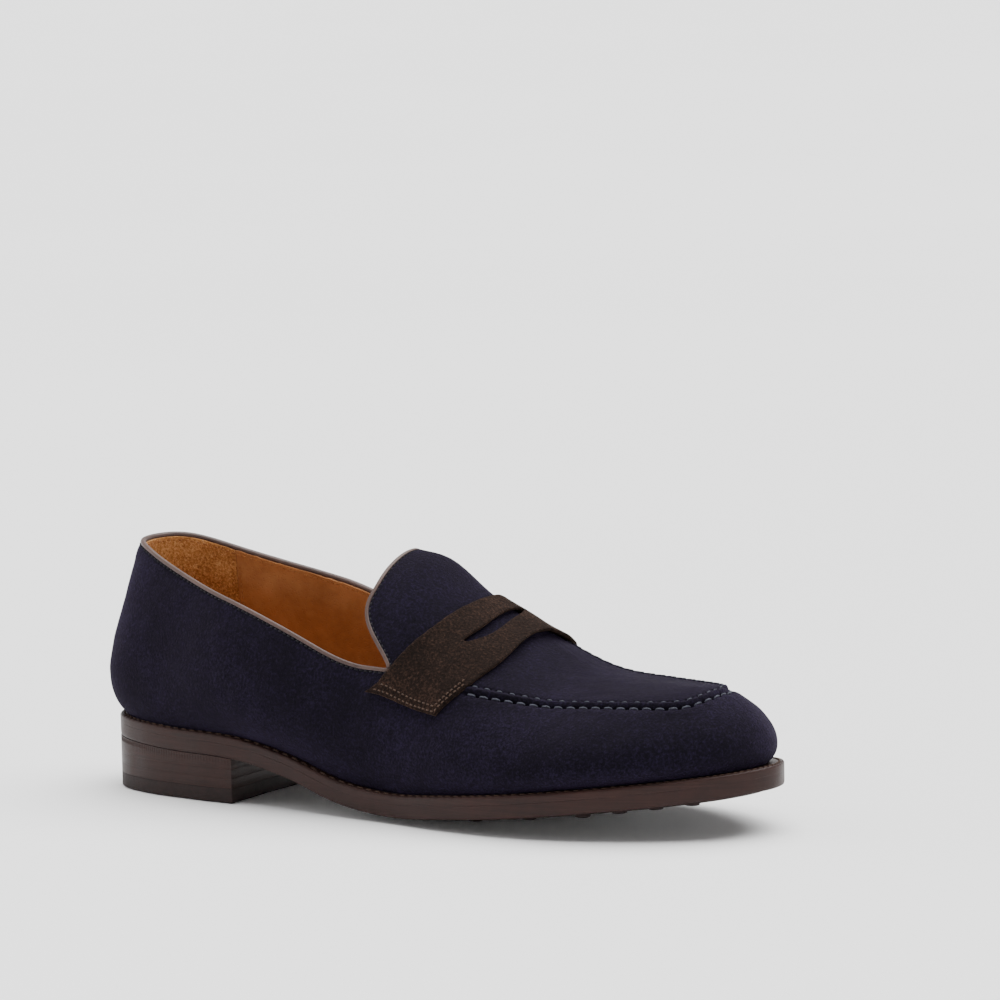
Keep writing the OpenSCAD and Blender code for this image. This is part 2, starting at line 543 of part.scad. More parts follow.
outsole();
welt();
welt_stitching();
forepart_rubber();
heel_lift_upper();
heel_lift_middle();
heel_lift_lower();
heel_top_piece();
heel_nails();
top_piece_pins();
insole();
insole_rib();
cork_filler();
shank();
sock_liner();
vamp_and_quarters();
apron_and_tongue();
apron_stitching();
penny_strap();
strap_stitching();
collar_binding();
tongue_binding();
binding_stitching();
quarter_lining();
heel_grip();
vamp_lining();
tongue_lining();
lining_stitching();
toe_puff();
heel_counter();
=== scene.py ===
"""Penny loafer: the looks of every visible piece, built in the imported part's frame."""
import math

import bmesh
import bpy
import numpy as np
from mathutils import Matrix, Vector


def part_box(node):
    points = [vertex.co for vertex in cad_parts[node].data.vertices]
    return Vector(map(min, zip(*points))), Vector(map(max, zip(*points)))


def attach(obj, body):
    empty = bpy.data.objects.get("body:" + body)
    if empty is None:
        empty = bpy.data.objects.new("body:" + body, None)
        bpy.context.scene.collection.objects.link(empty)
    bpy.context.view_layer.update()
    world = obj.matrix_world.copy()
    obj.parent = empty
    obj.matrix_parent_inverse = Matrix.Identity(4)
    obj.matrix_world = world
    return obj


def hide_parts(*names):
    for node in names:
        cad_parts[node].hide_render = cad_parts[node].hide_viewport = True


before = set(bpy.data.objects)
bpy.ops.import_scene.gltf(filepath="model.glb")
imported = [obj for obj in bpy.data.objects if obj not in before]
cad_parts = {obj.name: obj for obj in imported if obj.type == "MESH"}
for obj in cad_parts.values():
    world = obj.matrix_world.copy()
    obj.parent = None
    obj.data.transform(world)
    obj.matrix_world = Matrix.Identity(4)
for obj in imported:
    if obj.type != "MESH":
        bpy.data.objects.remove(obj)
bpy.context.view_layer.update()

# ---- the last, drawn in millimetres: x from heel to toe, -y the outer side, z up ------------
OUTLINE = np.array([
    (0, 0), (6, -18.5), (24, -29), (53, -34), (86, -36), (120, -40), (152, -44), (180, -49),
    (207, -51), (233, -48), (257, -40), (278, -29), (294, -16), (302, 2.5), (296, 20), (280, 33.5),
    (258, 44.5), (232, 50), (206, 51.5), (178, 45), (150, 37), (120, 31), (86, 32.5), (53, 33),
    (24, 29), (6, 18.5)], float)
TURNS = len(OUTLINE)
TOE = TURNS / 2
BREAST = 73.0
EDGE_T = 9.0
WELT_T = 3.4
GROUND_UP = 2.5
TREAD_T = 1.3
STUD_H = 1.2
SUEDE_T = 1.4
LINING_T = 1.0
LINING_IN = 1.5
STIFF_T = 1.3
STRAP_T = 1.7
MARGIN_W = 6.0
TOP_PIECE_T = 6.0
LIFT_T = 4.0
THROAT = 5.95
GRIP_FRONT = 2.45
LINING_FRONT = 7.2
SOCK_TOP = 5.8


def smooth(t):
    c = np.clip(t, 0, 1)
    return c * c * (3 - 2 * c)


def unit(v):
    """Vectors scaled to length 1."""
    return v / np.maximum(np.linalg.norm(v, axis=-1, keepdims=True), 1e-9)


def lerp(a, b, t):
    return a + (b - a) * t


class Curve:
    """Smooth curve through knots, held at its ends."""

    def __init__(self, *knots):
        self.x, self.y = np.array(knots, float).T
        self.h = np.diff(self.x)
        chord = np.diff(self.y) / self.h
        inner = (chord[:-1] * self.h[1:] + chord[1:] * self.h[:-1]) / (self.h[1:] + self.h[:-1])
        self.slope = np.concatenate([chord[:1], inner, chord[-1:]])

    def __call__(self, x):
        x = np.asarray(x, float)
        i = np.clip(np.searchsorted(self.x, x, side="right") - 1, 0, len(self.h) - 1)
        h = self.h[i]
        t = np.clip((x - self.x[i]) / h, 0, 1)
        return ((2 * t**3 - 3 * t**2 + 1) * self.y[i] + (t**3 - 2 * t**2 + t) * h * self.slope[i]
                + (3 * t**2 - 2 * t**3) * self.y[i + 1] + (t**3 - t**2) * h * self.slope[i + 1])


rise = Curve((0, 19.1), (40, 16.9), (75, 15.5), (100, 10.8), (130, 2.4), (155, 0), (180, 1.9),
             (210, 4.9), (240, 8.3), (270, 11.5), (302, 15.4))
ridge_height = Curve((0, 139), (60, 124.5), (110, 112), (135, 102.5), (150, 98.5), (165, 85.5),
                     (185, 73), (215, 58.4), (245, 55.2), (268, 55.2), (302, 57.2))
ridge_side = Curve((0, 4.5), (140, 8), (175, 15.5), (205, 13.7), (235, 8.1), (265, 2),
                   (302, 1.4))
feather_inset = Curve((0, 3), (20, 3), (75, 3.5), (140, 4.5), (200, 5.5), (260, 6), (302, 6.5))
bulge = Curve((0, 8.5), (30, 4), (80, 10.5), (140, 6), (200, 6), (260, 8), (302, 4))
bulge_at = Curve((0, .17), (60, .25), (140, .3), (200, .27), (302, .37))
side_power = Curve((0, 1.75), (60, 1.95), (140, 2), (200, 1.75), (260, 1.8), (302, 1.7))
inner_full = Curve((0, 1), (150, 1), (185, .96), (225, 1.07), (262, 1.08), (283, 1.13), (295, 1.02),
                   (302, 1))
height_power = Curve((0, 1.9), (60, 2.1), (140, 2.35), (200, 2.85), (260, 3.05), (302, 2.55))
edge_outer = Curve((0, .495), (1.5, .485), (3.5, .39), (5.9, .33), (7.33, .408), (8.2, .488), (9.2, .549),
                   (10.2, .573), (10.9, .577), (11.2, .594), (11.6, .645), (12.1, .683), (12.6, .711),
                   (13, .722))
edge_inner = Curve((13, .722), (13.6, .706), (14.3, .686), (15, .659), (16.5, .66), (17.7, .678),
                   (18.7, .655), (19.4, .56), (20.1, .45), (22, .425), (24.5, .495), (26, .495))
tongue_edge = Curve((0, 5.95), (.25, 5.44), (.5, 5.43), (.75, 5.46), (1, 5.48))
strap_back = Curve((-.755, 5.68), (-.735, 5.79), (-.68, 5.94), (-.6, 6.08), (-.41, 6.33), (-.26, 6.46),
                   (-.1, 6.55), (.1, 6.6), (.3, 6.6), (.5, 6.38), (.64, 6.12), (.68, 5.95))
strap_front = Curve((-.75, 6.88), (-.6, 7.18), (-.42, 7.4), (-.1, 7.42), (.1, 7.52), (.3, 7.6),
                    (.5, 7.45), (.68, 7.2))
slot_middle = Curve((-.4, 6.8), (-.3, 6.93), (-.1, 6.96), (.16, 6.93))
STRAP_ENDS = (-.755, .68)
SLOT_ENDS = (-.4, .16)
SLOT_W = .17
STRAP_LIFT = 2.0


def outline(u):
    w = np.mod(np.asarray(u, float), TURNS)
    i = np.floor(w).astype(int)
    t = (w - i)[..., None]
    a, b, c, d = (OUTLINE[(i + k) % TURNS] for k in (-1, 0, 1, 2))
    return .5 * (2 * b + (c - a) * t + (2 * a - 5 * b + 4 * c - d) * t**2
                 + (3 * b - a - 3 * c + d) * t**3)


def inset_outline(u, inset):
    d = unit(outline(u + .01) - outline(u - .01))
    normal = np.stack([d[..., 1], -d[..., 0]], -1)
    return outline(u) - np.asarray(inset)[..., None] * normal


def feather(u, extra=0.0):
    """The line where the upper turns in over the welt."""
    return inset_outline(u, feather_inset(outline(u)[..., 0]) + extra)


def welt_top(x):
    return GROUND_UP + EDGE_T + rise(x)


def ridge_x(x):
    return x - np.maximum(x - 230, 0)**2 / 132 + np.maximum(60 - x, 0)**2 / 120


def skin(u, p):
    """Point of the upper's surface: u round the outline, p the share of the way up to the ridge."""
    u, p = np.broadcast_arrays(np.asarray(u, float), np.asarray(p, float))
    f = feather(u)
    x = f[..., 0]
    rx = ridge_x(x)
    r = np.stack([rx, ridge_side(rx)], -1)
    foot = welt_top(x)
    up = np.clip(p, 0, 2)
    reach = f - r
    full = np.where(u > TOE, inner_full(x), 1)
    c = np.maximum(np.cos(np.pi / 2 * up), 0)**(2 / (side_power(x) * full))
    h = np.maximum(np.sin(np.pi / 2 * up), 0)**(2 / height_power(x))
    h0 = bulge_at(x)
    swell = bulge(x) * h / h0 * np.exp(1 - h / h0)
    q = r + reach * (c + swell / np.linalg.norm(reach, axis=-1))[..., None]
    slope = ridge_height(rx + .5) - ridge_height(rx - .5)
    z = foot + (ridge_height(rx) - foot) * h + slope * (q[..., 0] - rx) * h * h
    turned = feather(u, np.maximum(-p, 0) * MARGIN_W)
    low = (p < 0)[..., None]
    return np.where(low, np.concatenate([turned, foot[..., None]], -1),
                    np.concatenate([q, z[..., None]], -1))


def skin_normal(u, p):
    p = np.clip(p, .006, .996)
    along = skin(u + .02, p) - skin(u - .02, p)
    return unit(np.cross(along, skin(u, p + .004) - skin(u, p - .004)))


def edge(u):
    """Share at which the vamp ends: the apron seam in front, the collar behind."""
    return np.where(u <= TOE, edge_outer(u), edge_inner(u))


def shifted(u, p, d, steps=8):
    """The share p moved by d millimetres up the surface."""
    for _ in range(steps):
        rate = np.linalg.norm(skin(u, p + .005) - skin(u, p - .005), axis=-1) / .01
        p = p + d / steps / np.maximum(rate, .5)
    return p


def side_u(u, w):
    """Outline position on the side that w lies on."""
    return np.where(w > 0, TURNS - u, u)


def across(u, w):
    """Point and normal on a section across the shoe: w = -1 outer feather line, 0 ridge, 1 inner."""
    u, w = np.broadcast_arrays(np.asarray(u, float), np.asarray(w, float))
    s, p = side_u(u, w), 1 - np.abs(w)
    other = TURNS - s
    share = (smooth((p - .55) / .45) / 2)[..., None]
    point = skin(s, p) + (skin(other, np.ones_like(p)) - skin(s, np.ones_like(p))) * share
    normal = unit(lerp(skin_normal(s, p), skin_normal(other, p), share))
    return point, normal


def ripple(points, size, seed):
    """Smooth noise of about -1 to 1 with waves of the given size."""
    rng = np.random.RandomState(seed)
    total = np.zeros(points.shape[:-1])
    for _ in range(14):
        wave = unit(rng.normal(size=3)) * 2 * np.pi / (size * rng.uniform(.7, 1.6))
        total += np.sin(points @ wave + rng.uniform(0, 6.28))
    return total / 5


def even(path, step, start, end):
    """Parameters spaced evenly by length along path, a function of one parameter."""
    t = np.linspace(start, end, 3000)
    length = np.concatenate([[0], np.cumsum(np.linalg.norm(np.diff(path(t), axis=0), axis=1))])
    count = max(int(round(length[-1] / step)), 2)
    return np.interp(np.linspace(0, length[-1], count + 1), length, t)


# ---- meshes ---------------------------------------------------------------------------------
low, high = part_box("outsole")
drawn = outline(np.linspace(0, TURNS, 4000))
UNIT = (high[0] - low[0]) / np.ptp(drawn[:, 0])
ORIGIN = np.array([low[0] - drawn[:, 0].min() * UNIT, low[1] - drawn[:, 1].min() * UNIT, 0])


def placed(points):
    """Drawing millimetres to metres in the row's frame."""
    return np.asarray(points) * UNIT + ORIGIN


def piece(name, parts, material, slot, *nodes, sharp=40, weld=False):
    """One object from parts, each a list of points and faces in drawing millimetres."""
    points, faces, start = [], [], 0
    for pts, fcs in parts:
        points.append(np.asarray(pts).reshape(-1, 3))
        faces += [[int(k) + start for k in f] for f in fcs]
        start += len(points[-1])
    mesh = bpy.data.meshes.new(name)
    mesh.from_pydata(placed(np.concatenate(points)).tolist(), [], faces)
    mesh.validate()
    if weld:
        work = bmesh.new()
        work.from_mesh(mesh)
        bmesh.ops.remove_doubles(work, verts=work.verts, dist=1e-6)
        bmesh.ops.recalc_face_normals(work, faces=work.faces)
        work.to_mesh(mesh)
        work.free()
    mesh.shade_smooth()
    mesh.set_sharp_from_angle(angle=math.radians(sharp))
    mesh.materials.append(material)
    obj = bpy.data.objects.new(name, mesh)
    bpy.context.scene.collection.objects.link(obj)
    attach(obj, "root")
    if nodes:
        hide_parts(*nodes)
    return obj


def grid_faces(n, m, ring=False, start=0, turned=False):
    """Quads of a grid of n by m points; a ring joins the last row to the first."""
    i, j = np.meshgrid(np.arange(n if ring else n - 1), np.arange(m - 1), indexing="ij")
    k = (i + 1) % n
    f = np.stack([i * m + j, k * m + j, k * m + j + 1, i * m + j + 1], -1).reshape(-1, 4) + start
    return f[:, ::-1] if turned else f


def rim_faces(a, b):
    """Quads between two equally long rows of vertex numbers."""
    return np.stack([a[:-1], b[:-1], b[1:], a[1:]], -1)


def shell(outer, inner):
    """Closed sheet between two grids of points."""
    n, m = outer.shape[:2]
    ids = np.arange(n * m).reshape(n, m)
    back = ids + n * m
    faces = [grid_faces(n, m), grid_faces(n, m, False, n * m, True),
             rim_faces(back[:, 0], ids[:, 0]), rim_faces(ids[:, -1], back[:, -1]),
             rim_faces(ids[0], back[0]), rim_faces(back[-1], ids[-1])]
    return np.concatenate([outer.reshape(-1, 3), inner.reshape(-1, 3)]), np.concatenate(faces)


def tube(rings):
    """Sections joined into a closed skin; rings is sections x points x 3."""
    n, m = rings.shape[:2]
    ids = np.concatenate([np.arange(n * m).reshape(n, m), np.arange(n * m).reshape(n, m)[:, :1]], 1)
    flat = ids.reshape(-1)
    faces = [list(flat[q]) for q in grid_faces(n, m + 1)]
    faces += [list(range(m))[::-1], list(range((n - 1) * m, n * m))]
    return rings.reshape(-1, 3), faces


def stitch_rods(starts, ends, normals, radius, lift, sides=8, cuts=11):
    """Short twisted threads that dive into the leather at both ends."""
    t = np.linspace(0, 1, cuts)
    hump = np.sin(np.pi * t)**.35
    along = unit(ends - starts)
    beside = unit(np.cross(normals, along))
    centre = (starts[:, None] + (ends - starts)[:, None] * t[:, None]
              + normals[:, None] * (lerp(-1.1 * radius, lift, hump))[:, None])
    turn = np.linspace(0, 2 * np.pi, sides, endpoint=False)
    length = np.linalg.norm(ends - starts, axis=1)
    phase = length[:, None] * t / (4.4 * radius) * 2 * np.pi
    size = radius * (1 + .16 * np.cos(2 * turn[None, None] - phase[..., None]))
    size = size * (.55 + .45 * np.sin(np.pi * t)**.4)[:, None]
    ring = (centre[:, :, None] + beside[:, None, None] * (size * np.cos(turn))[..., None]
            + normals[:, None, None] * (size * .85 * np.sin(turn))[..., None])
    points, faces = [], []
    k = cuts * sides
    one = tube(ring[0])[1]
    for i, r in enumerate(ring):
        points.append(r.reshape(-1, 3))
        faces += [[v + i * k for v in f] for f in one]
    return np.concatenate(points), faces


def row_of_stitches(at, span, pitch, share, radius, lift):
    """Stitches along at(t) -> points, normals, for t from span[0] to span[1]."""
    marks = even(lambda t: at(t)[0], pitch, *span)
    a, b = marks[:-1], marks[1:]
    first, last = lerp(a, b, (1 - share) / 2), lerp(a, b, (1 + share) / 2)
    normals = at((a + b) / 2)[1]
    return stitch_rods(at(first)[0], at(last)[0], normals, radius, lift)


def holes(at, span, pitch, share):
    """Where the ends of the same stitches pass through, as parameters."""
    marks = even(lambda t: at(t)[0], pitch, *span)
    a, b = marks[:-1], marks[1:]
    return np.concatenate([lerp(a, b, (1 - share) / 2), lerp(a, b, (1 + share) / 2)])


def dimples(points, centres, depth, radius):
    """Depth of the small pits pressed in at the centres."""
    total = np.zeros(points.shape[:-1])
    flat = points.reshape(-1, 3)
    sums = total.reshape(-1)
    for c in centres:
        near = np.abs(flat[:, 0] - c[0]) < 3 * radius
        near = np.nonzero(near)[0]
        d2 = ((flat[near] - c)**2).sum(1) / radius**2
        sums[near] -= depth * np.exp(-d2)
    return total


# ---- materials ------------------------------------------------------------------------------
class Looks:
    """Small helper that builds one node material."""

    def __init__(self, name):
        self.material = bpy.data.materials.new(name)
        self.material.use_nodes = True
        self.tree = self.material.node_tree
        self.shader = self.tree.nodes["Principled BSDF"]
        self.coords = self.tree.nodes.new("ShaderNodeTexCoord").outputs["Object"]

    def feed(self, socket, value):
        if isinstance(value, bpy.types.NodeSocket):
            self.tree.links.new(value, socket)
        else:
            socket.default_value = value

    def stretched(self, scale, rotation=(0, 0, 0)):
        node = self.tree.nodes.new("ShaderNodeMapping")
        self.feed(node.inputs["Vector"], self.coords)
        node.inputs["Scale"].default_value = scale
        node.inputs["Rotation"].default_value = rotation
        return node.outputs["Vector"]

    def noise(self, scale, detail=4, rough=.6, warp=0, vector=None):
        node = self.tree.nodes.new("ShaderNodeTexNoise")
        self.feed(node.inputs["Vector"], vector or self.coords)
        for name, value in (("Scale", scale), ("Detail", detail), ("Roughness", rough),
                            ("Distortion", warp)):
            node.inputs[name].default_value = value
        return node.outputs["Fac"]

    def cells(self, scale, vector=None):
        node = self.tree.nodes.new("ShaderNodeTexVoronoi")
        self.feed(node.inputs["Vector"], vector or self.coords)
        node.inputs["Scale"].default_value = scale
        return node.outputs["Distance"]

    def levels(self, value, low, high, to_low=0, to_high=1):
        node = self.tree.nodes.new("ShaderNodeMapRange")
        self.feed(node.inputs["Value"], value)
        for name, v in (("From Min", low), ("From Max", high), ("To Min", to_low),
                        ("To Max", to_high)):
            node.inputs[name].default_value = v
        return node.outputs["Result"]

    def spread(self, value, most=1):
        """Noise stretched to run from 0 to most."""
        return self.levels(value, .3, .7, 0, most)

    def mix(self, share, a, b, blend="MIX"):
        node = self.tree.nodes.new("ShaderNodeMix")
        node.data_type = "RGBA"
        node.blend_type = blend
        for socket, value in ((node.inputs[0], share), (node.inputs[6], a), (node.inputs[7], b)):
            self.feed(socket, value)
        return node.outputs[2]

    def sums(self, a, b, share=1.0):
        node = self.tree.nodes.new("ShaderNodeMath")
        node.operation = "MULTIPLY_ADD"
        self.feed(node.inputs[0], b)
        node.inputs[1].default_value = share
        self.feed(node.inputs[2], a)
        return node.outputs[0]

    def bump(self, height, distance, strength):
        node = self.tree.nodes.new("ShaderNodeBump")
        node.inputs["Strength"].default_value = strength
        node.inputs["Distance"].default_value = distance
        self.feed(node.inputs["Height"], height)
        return node.outputs["Normal"]

    def finish(self, **inputs):
        for name, value in inputs.items():
            self.feed(self.shader.inputs[name.replace("_", " ")], value)
        return self.material


def rgb(r, g, b):
    """Linear colour from the usual 0 to 255 values."""
    def one(v):
        v /= 255
        return v / 12.92 if v <= .04045 else ((v + .055) / 1.055)**2.4
    return (one(r), one(g), one(b), 1)


def suede(name, dark, mid, light, sheen, tint, nap=1.0):
    """Napped leather: soft clouds where the nap lies differently, a coarse speckle and short fibres."""
    look = Looks(name)
    clouds = look.noise(26, 4, .6, .6)
    patches = look.noise(190, 5, .65, .8)
    speckle = look.noise(1000, 4, .7, .3)
    fibres = look.noise(1, 4, .7, .4, look.stretched((3000, 1100, 1900), (.3, .5, .7)))
    tone = look.sums(look.spread(clouds, .26), look.spread(patches), .1)
    tone = look.sums(tone, look.levels(speckle, .34, .66), .54)
    tone = look.sums(tone, look.spread(fibres), .1)
    colour = look.mix(look.levels(tone, .2, .52), dark, mid)
    colour = look.mix(look.levels(tone, .5, .82), colour, light)
    height = look.sums(look.sums(speckle, fibres, .12), patches, .35)
    normal = look.bump(height, .0008 * nap, .8)
    rough = look.levels(patches, .2, .8, .88, 1.0)
    return look.finish(Base_Color=colour, Roughness=rough, Sheen_Weight=sheen, Sheen_Roughness=.5,
                       Sheen_Tint=tint, Specular_IOR_Level=.08, Normal=normal)


def leather(name, dark, light, rough, pore=900, coat=0.0, bump=.00012):
    """Smooth grain leather: pores, soft blotches and faint creases."""
    look = Looks(name)
    clouds = look.noise(18, 4, .6, .5)
    blotch = look.noise(110, 5, .65, .4)
    pores = look.cells(pore)
    crease = look.noise(1, 4, .65, .8, look.stretched((60, 260, 180), (.2, .4, .3)))
    tone = look.sums(look.spread(clouds, .6), look.spread(blotch), .4)
    colour = look.mix(tone, dark, light)
    colour = look.mix(look.levels(pores, .0, .35, .25, 0), colour, dark, "MULTIPLY")
    height = look.sums(look.levels(pores, 0, .4), crease, .8)
    return look.finish(Base_Color=colour, Roughness=look.levels(blotch, .25, .75, rough - .07, rough + .1),
                       Normal=look.bump(height, bump, .8), Coat_Weight=coat, Coat_Roughness=.3,
                       Specular_IOR_Level=.25)


def stacked(name, dark, light, rough, lines):
    """Edge of sole leather: fine layers, burnished."""
    look = Looks(name)
    layers = look.noise(1, 5, .7, .25, look.stretched((25, 25, lines)))
    mottle = look.noise(90, 5, .65, .3)
    scuff = look.noise(1, 4, .7, .2, look.stretched((350, 350, 40)))
    tone = look.sums(look.spread(layers, .6), look.spread(mottle), .4)
    colour = look.mix(tone, dark, light)
    height = look.sums(layers, scuff, .5)
    return look.finish(Base_Color=colour, Roughness=look.levels(mottle, .25, .75, rough - .08, rough + .12),
                       Normal=look.bump(height, .00012, .6), Coat_Weight=.03, Coat_Roughness=.25,
                       Specular_IOR_Level=.14)


def thread(name, dark, light, rough=.7):
    """Waxed thread with fine strands."""
    look = Looks(name)
    strands = look.noise(1, 3, .6, .4, look.stretched((4200, 1700, 3000), (.6, .2, .9)))
    wax = look.noise(500, 3, .5)
    tone = look.sums(look.spread(strands, .7), look.spread(wax), .3)
    colour = look.mix(tone, dark, light)
    return look.finish(Base_Color=colour, Roughness=look.levels(wax, .3, .7, rough - .1, rough + .1),
                       Normal=look.bump(strands, .00015, .7), Specular_IOR_Level=.2, Sheen_Weight=.05)


def grained(name, dark, light, rough, scale, metal=0.0, bump=.00015, stretch=(1, 1, 1)):
    """Two sizes of grain: rubber, cork, board or metal."""
    look = Looks(name)
    coarse = look.noise(scale, 5, .65, .5, look.stretched(stretch))
    fine = look.noise(scale * 9, 4, .65, 0, look.stretched(stretch))
    tone = look.sums(look.spread(coarse, .7), look.spread(fine), .3)
    colour = look.mix(tone, dark, light)
    return look.finish(Base_Color=colour, Roughness=look.levels(fine, .3, .7, rough - .08, rough + .08),
                       Metallic=metal, Normal=look.bump(look.sums(coarse, fine, .6), bump, .7),
                       Specular_IOR_Level=.5 if metal else .2)


def canvas(name, dark, light):
    """Plain woven lining."""
    look = Looks(name)
    weave = look.cells(1100, vector=look.stretched((1, 1, 1), (0, 0, .78)))
    slub = look.noise(1, 4, .6, .2, look.stretched((1500, 200, 200)))
    stain = look.noise(40, 4, .6)
    tone = look.sums(look.levels(weave, .1, .6, 0, .5), look.spread(stain), .5)
    return look.finish(Base_Color=look.mix(tone, dark, light), Roughness=look.levels(slub, .3, .7, .8, .95),
                       Normal=look.bump(look.sums(weave, slub, .5), .00025, .8), Sheen_Weight=.2)


NAVY = suede("navy_suede", rgb(4, 3, 7), rgb(10, 7, 16), rgb(26, 21, 38), .095, rgb(158, 132, 188), .8)
BROWN = suede("brown_suede", rgb(7, 4, 3), rgb(20, 13, 10), rgb(52, 37, 30), .08, rgb(205, 160, 140), 1.2)
TAN_SUEDE = suede("tan_suede", rgb(138, 88, 46), rgb(186, 128, 74), rgb(220, 168, 112), .1,
                  rgb(230, 190, 150), 1.6)
TAN = leather("tan_leather", rgb(138, 88, 50), rgb(184, 126, 78), .45)
TAUPE = leather("taupe_leather", rgb(52, 39, 36), rgb(94, 74, 68), .42, 1300, .05, .00008)
SOLE = stacked("sole_leather", rgb(26, 13, 11), rgb(50, 30, 26), .42, 2400)
WELT = stacked("welt_leather", rgb(26, 14, 12), rgb(52, 32, 28), .42, 1800)
INSOLE = leather("insole_leather", rgb(150, 108, 70), rgb(190, 150, 105), .65)
RUBBER = grained("black_rubber", rgb(22, 12, 11), rgb(38, 23, 21), .62, 300)
CORK = grained("cork", rgb(96, 58, 30), rgb(176, 120, 72), .85, 500, 0, .0004)
BOARD = grained("stiffener_board", rgb(172, 160, 134), rgb(212, 202, 178), .85, 260, 0, .0003, (1, 3, 1))
STEEL = grained("steel", rgb(120, 122, 126), rgb(186, 188, 192), .38, 200, 1.0, .00004, (1, 8, 8))
BRASS = grained("brass_pin", rgb(150, 112, 52), rgb(205, 165, 92), .35, 300, 1.0, .00004)
CANVAS = canvas("canvas_lining", rgb(150, 116, 74), rgb(206, 176, 130))
SLATE_THREAD = thread("slate_thread", rgb(34, 35, 43), rgb(76, 78, 90))
BROWN_THREAD = thread("brown_thread", rgb(36, 25, 20), rgb(86, 65, 52))
DARK_THREAD = thread("dark_thread", rgb(7, 6, 10), rgb(20, 18, 25))
TAN_THREAD = thread("tan_thread", rgb(120, 70, 34), rgb(176, 116, 64))

# ---- upper ----------------------------------------------------------------------------------
STITCH_PITCH = 5.15
APRON_ROW = 2.7
VAMP_ROW = -1.3
BINDING_STEP = .05
TOP_SHARE = .44
SIDE_SHARE = .68
SEAM_SPAN = (7.2, TURNS - 7.3)
BINDING_ROW = -2.05
BINDING_PITCH = 2.3
vamp_relief = Curve((-16, 0), (-8, .08), (-3.4, .3), (-1.3, -.05), (-.6, -.2), (.4, -.35))
apron_relief = Curve((-.7, -.6), (-.5, -.1), (0, .55), (.5, 1.0), (1, 1.15), (1.5, 1.0), (2.1, .6),
                     (2.7, .38), (3.9, .52), (7, .42), (12, .25), (20, .15))
inner_raise = Curve((-.7, 0), (0, .4), (1, .8), (2.7, .8), (4.5, .45), (8, .1), (12, 0))
collar_relief = Curve((-10, 0), (-5, .14), (-3.2, .06), (-2.05, -.14), (-1.4, -.05), (0, -.1))


def from_edge(d):
    """The line d millimetres above the seam or the collar's edge, with its normals."""
    def at(u):
        p = shifted(u, edge(u), d)
        return skin(u, p), skin_normal(u, p)
    return at


def seam_share(u):
    """1 along the apron seam, 0 under the strap and along the collar."""
    return smooth((u - 7.0) / .2) * smooth((TURNS - 7.1 - u) / .2)


def inner_share(u):
    """1 along the inner side's seam, which stands a little higher, 0 on the outer side."""
    return smooth((u - TOE - .3) / 1.2)


def make_vamp():
    """Vamp and quarters: puckered at the seam, pitted at the collar's stitches, folded at the ball."""
    def top_line(u):
        return skin(u, edge(u))
    us = even(top_line, .55, .004, TURNS - .004)[:, None]
    near = np.concatenate([np.arange(0, 6, .3), np.arange(6, 15, .9)])
    p, rows = edge(us), []
    last = 0.0
    for d in near:
        p = shifted(us, p, last - d, 2)
        last = d
        rows.append(p)
    far = np.linspace(1, 0, 40)[1:]
    rows += [p * f for f in far]
    below = [np.full_like(p, v) for v in (-.08, -.5, -1)]
    p = np.concatenate(rows + below, 1)
    u = np.broadcast_to(us, p.shape)
    d = -np.concatenate([near, np.full(p.shape[1] - len(near), 99.0)])
    base = skin(u, p)
    normal = skin_normal(u, p)
    on_seam = seam_share(u)
    seam_pits = from_edge(VAMP_ROW)(holes(from_edge(VAMP_ROW), SEAM_SPAN, STITCH_PITCH, SIDE_SHARE + .1))[0]
    collar = from_edge(BINDING_ROW)
    outer_pits = collar(holes(collar, (.1, THROAT - .15), BINDING_PITCH, .7))[0]
    inner_pits = collar(holes(collar, (TURNS - THROAT + .15, TURNS - .1), BINDING_PITCH, .7))[0]
    back = np.exp(-((base[..., 1] - 0)**2) / .5**2) * smooth((10 - base[..., 0]) / 4)
    lift = (on_seam * vamp_relief(d) + (1 - on_seam) * collar_relief(d)
            + dimples(base, seam_pits, 1.0, .75) + dimples(base, outer_pits, .3, .45)
            + dimples(base, inner_pits, .3, .45) - .45 * back)
    fade = smooth(p / .12) * smooth(-d / 6)
    folds = .28 * ripple(base, 34, 3) + .1 * ripple(base, 9, 4)
    along = base[..., 0] * .8 + base[..., 2] * .6
    flex = smooth(1 - np.abs(base[..., 0] - 205) / 42) * np.sin(along * .42 + ripple(base, 40, 5) * 1.5)
    lift = lift + fade * (folds + .16 * flex) * (p > 0)
    crimp = np.sin(even_phase(us, STITCH_PITCH)) * np.exp(-((d + 3.2) / 2.2)**2) * .12 * on_seam
    outer = base + (lift + crimp)[..., None] * np.where((p < 0)[..., None], 0, normal)
    down = np.array([0, 0, -1.0])
    inward = np.where((p < .01)[..., None], unit(np.where((p < 0)[..., None], down, normal + down)), normal)
    inner = base - SUEDE_T * inward
    piece("upper_vamp_and_quarters", [shell(outer[:, ::-1], inner[:, ::-1])], NAVY, "navy_suede",
          "vamp_and_quarters", sharp=60)


def even_phase(us, pitch):
    """Angle that runs once round with every stitch along the seam."""
    t = np.linspace(*SEAM_SPAN, 3000)
    pts = from_edge(VAMP_ROW)(t)[0]
    length = np.concatenate([[0], np.cumsum(np.linalg.norm(np.diff(pts, axis=0), axis=1))])
    return 2 * np.pi * np.interp(us, t, length) / pitch


def tongue_line(w):
    """The tongue's back edge: w from -1 at the outer throat over 0 at the ridge to 1."""
    u = tongue_edge(1 - np.abs(w))
    return u, w * (1 - edge(side_u(u, w)))


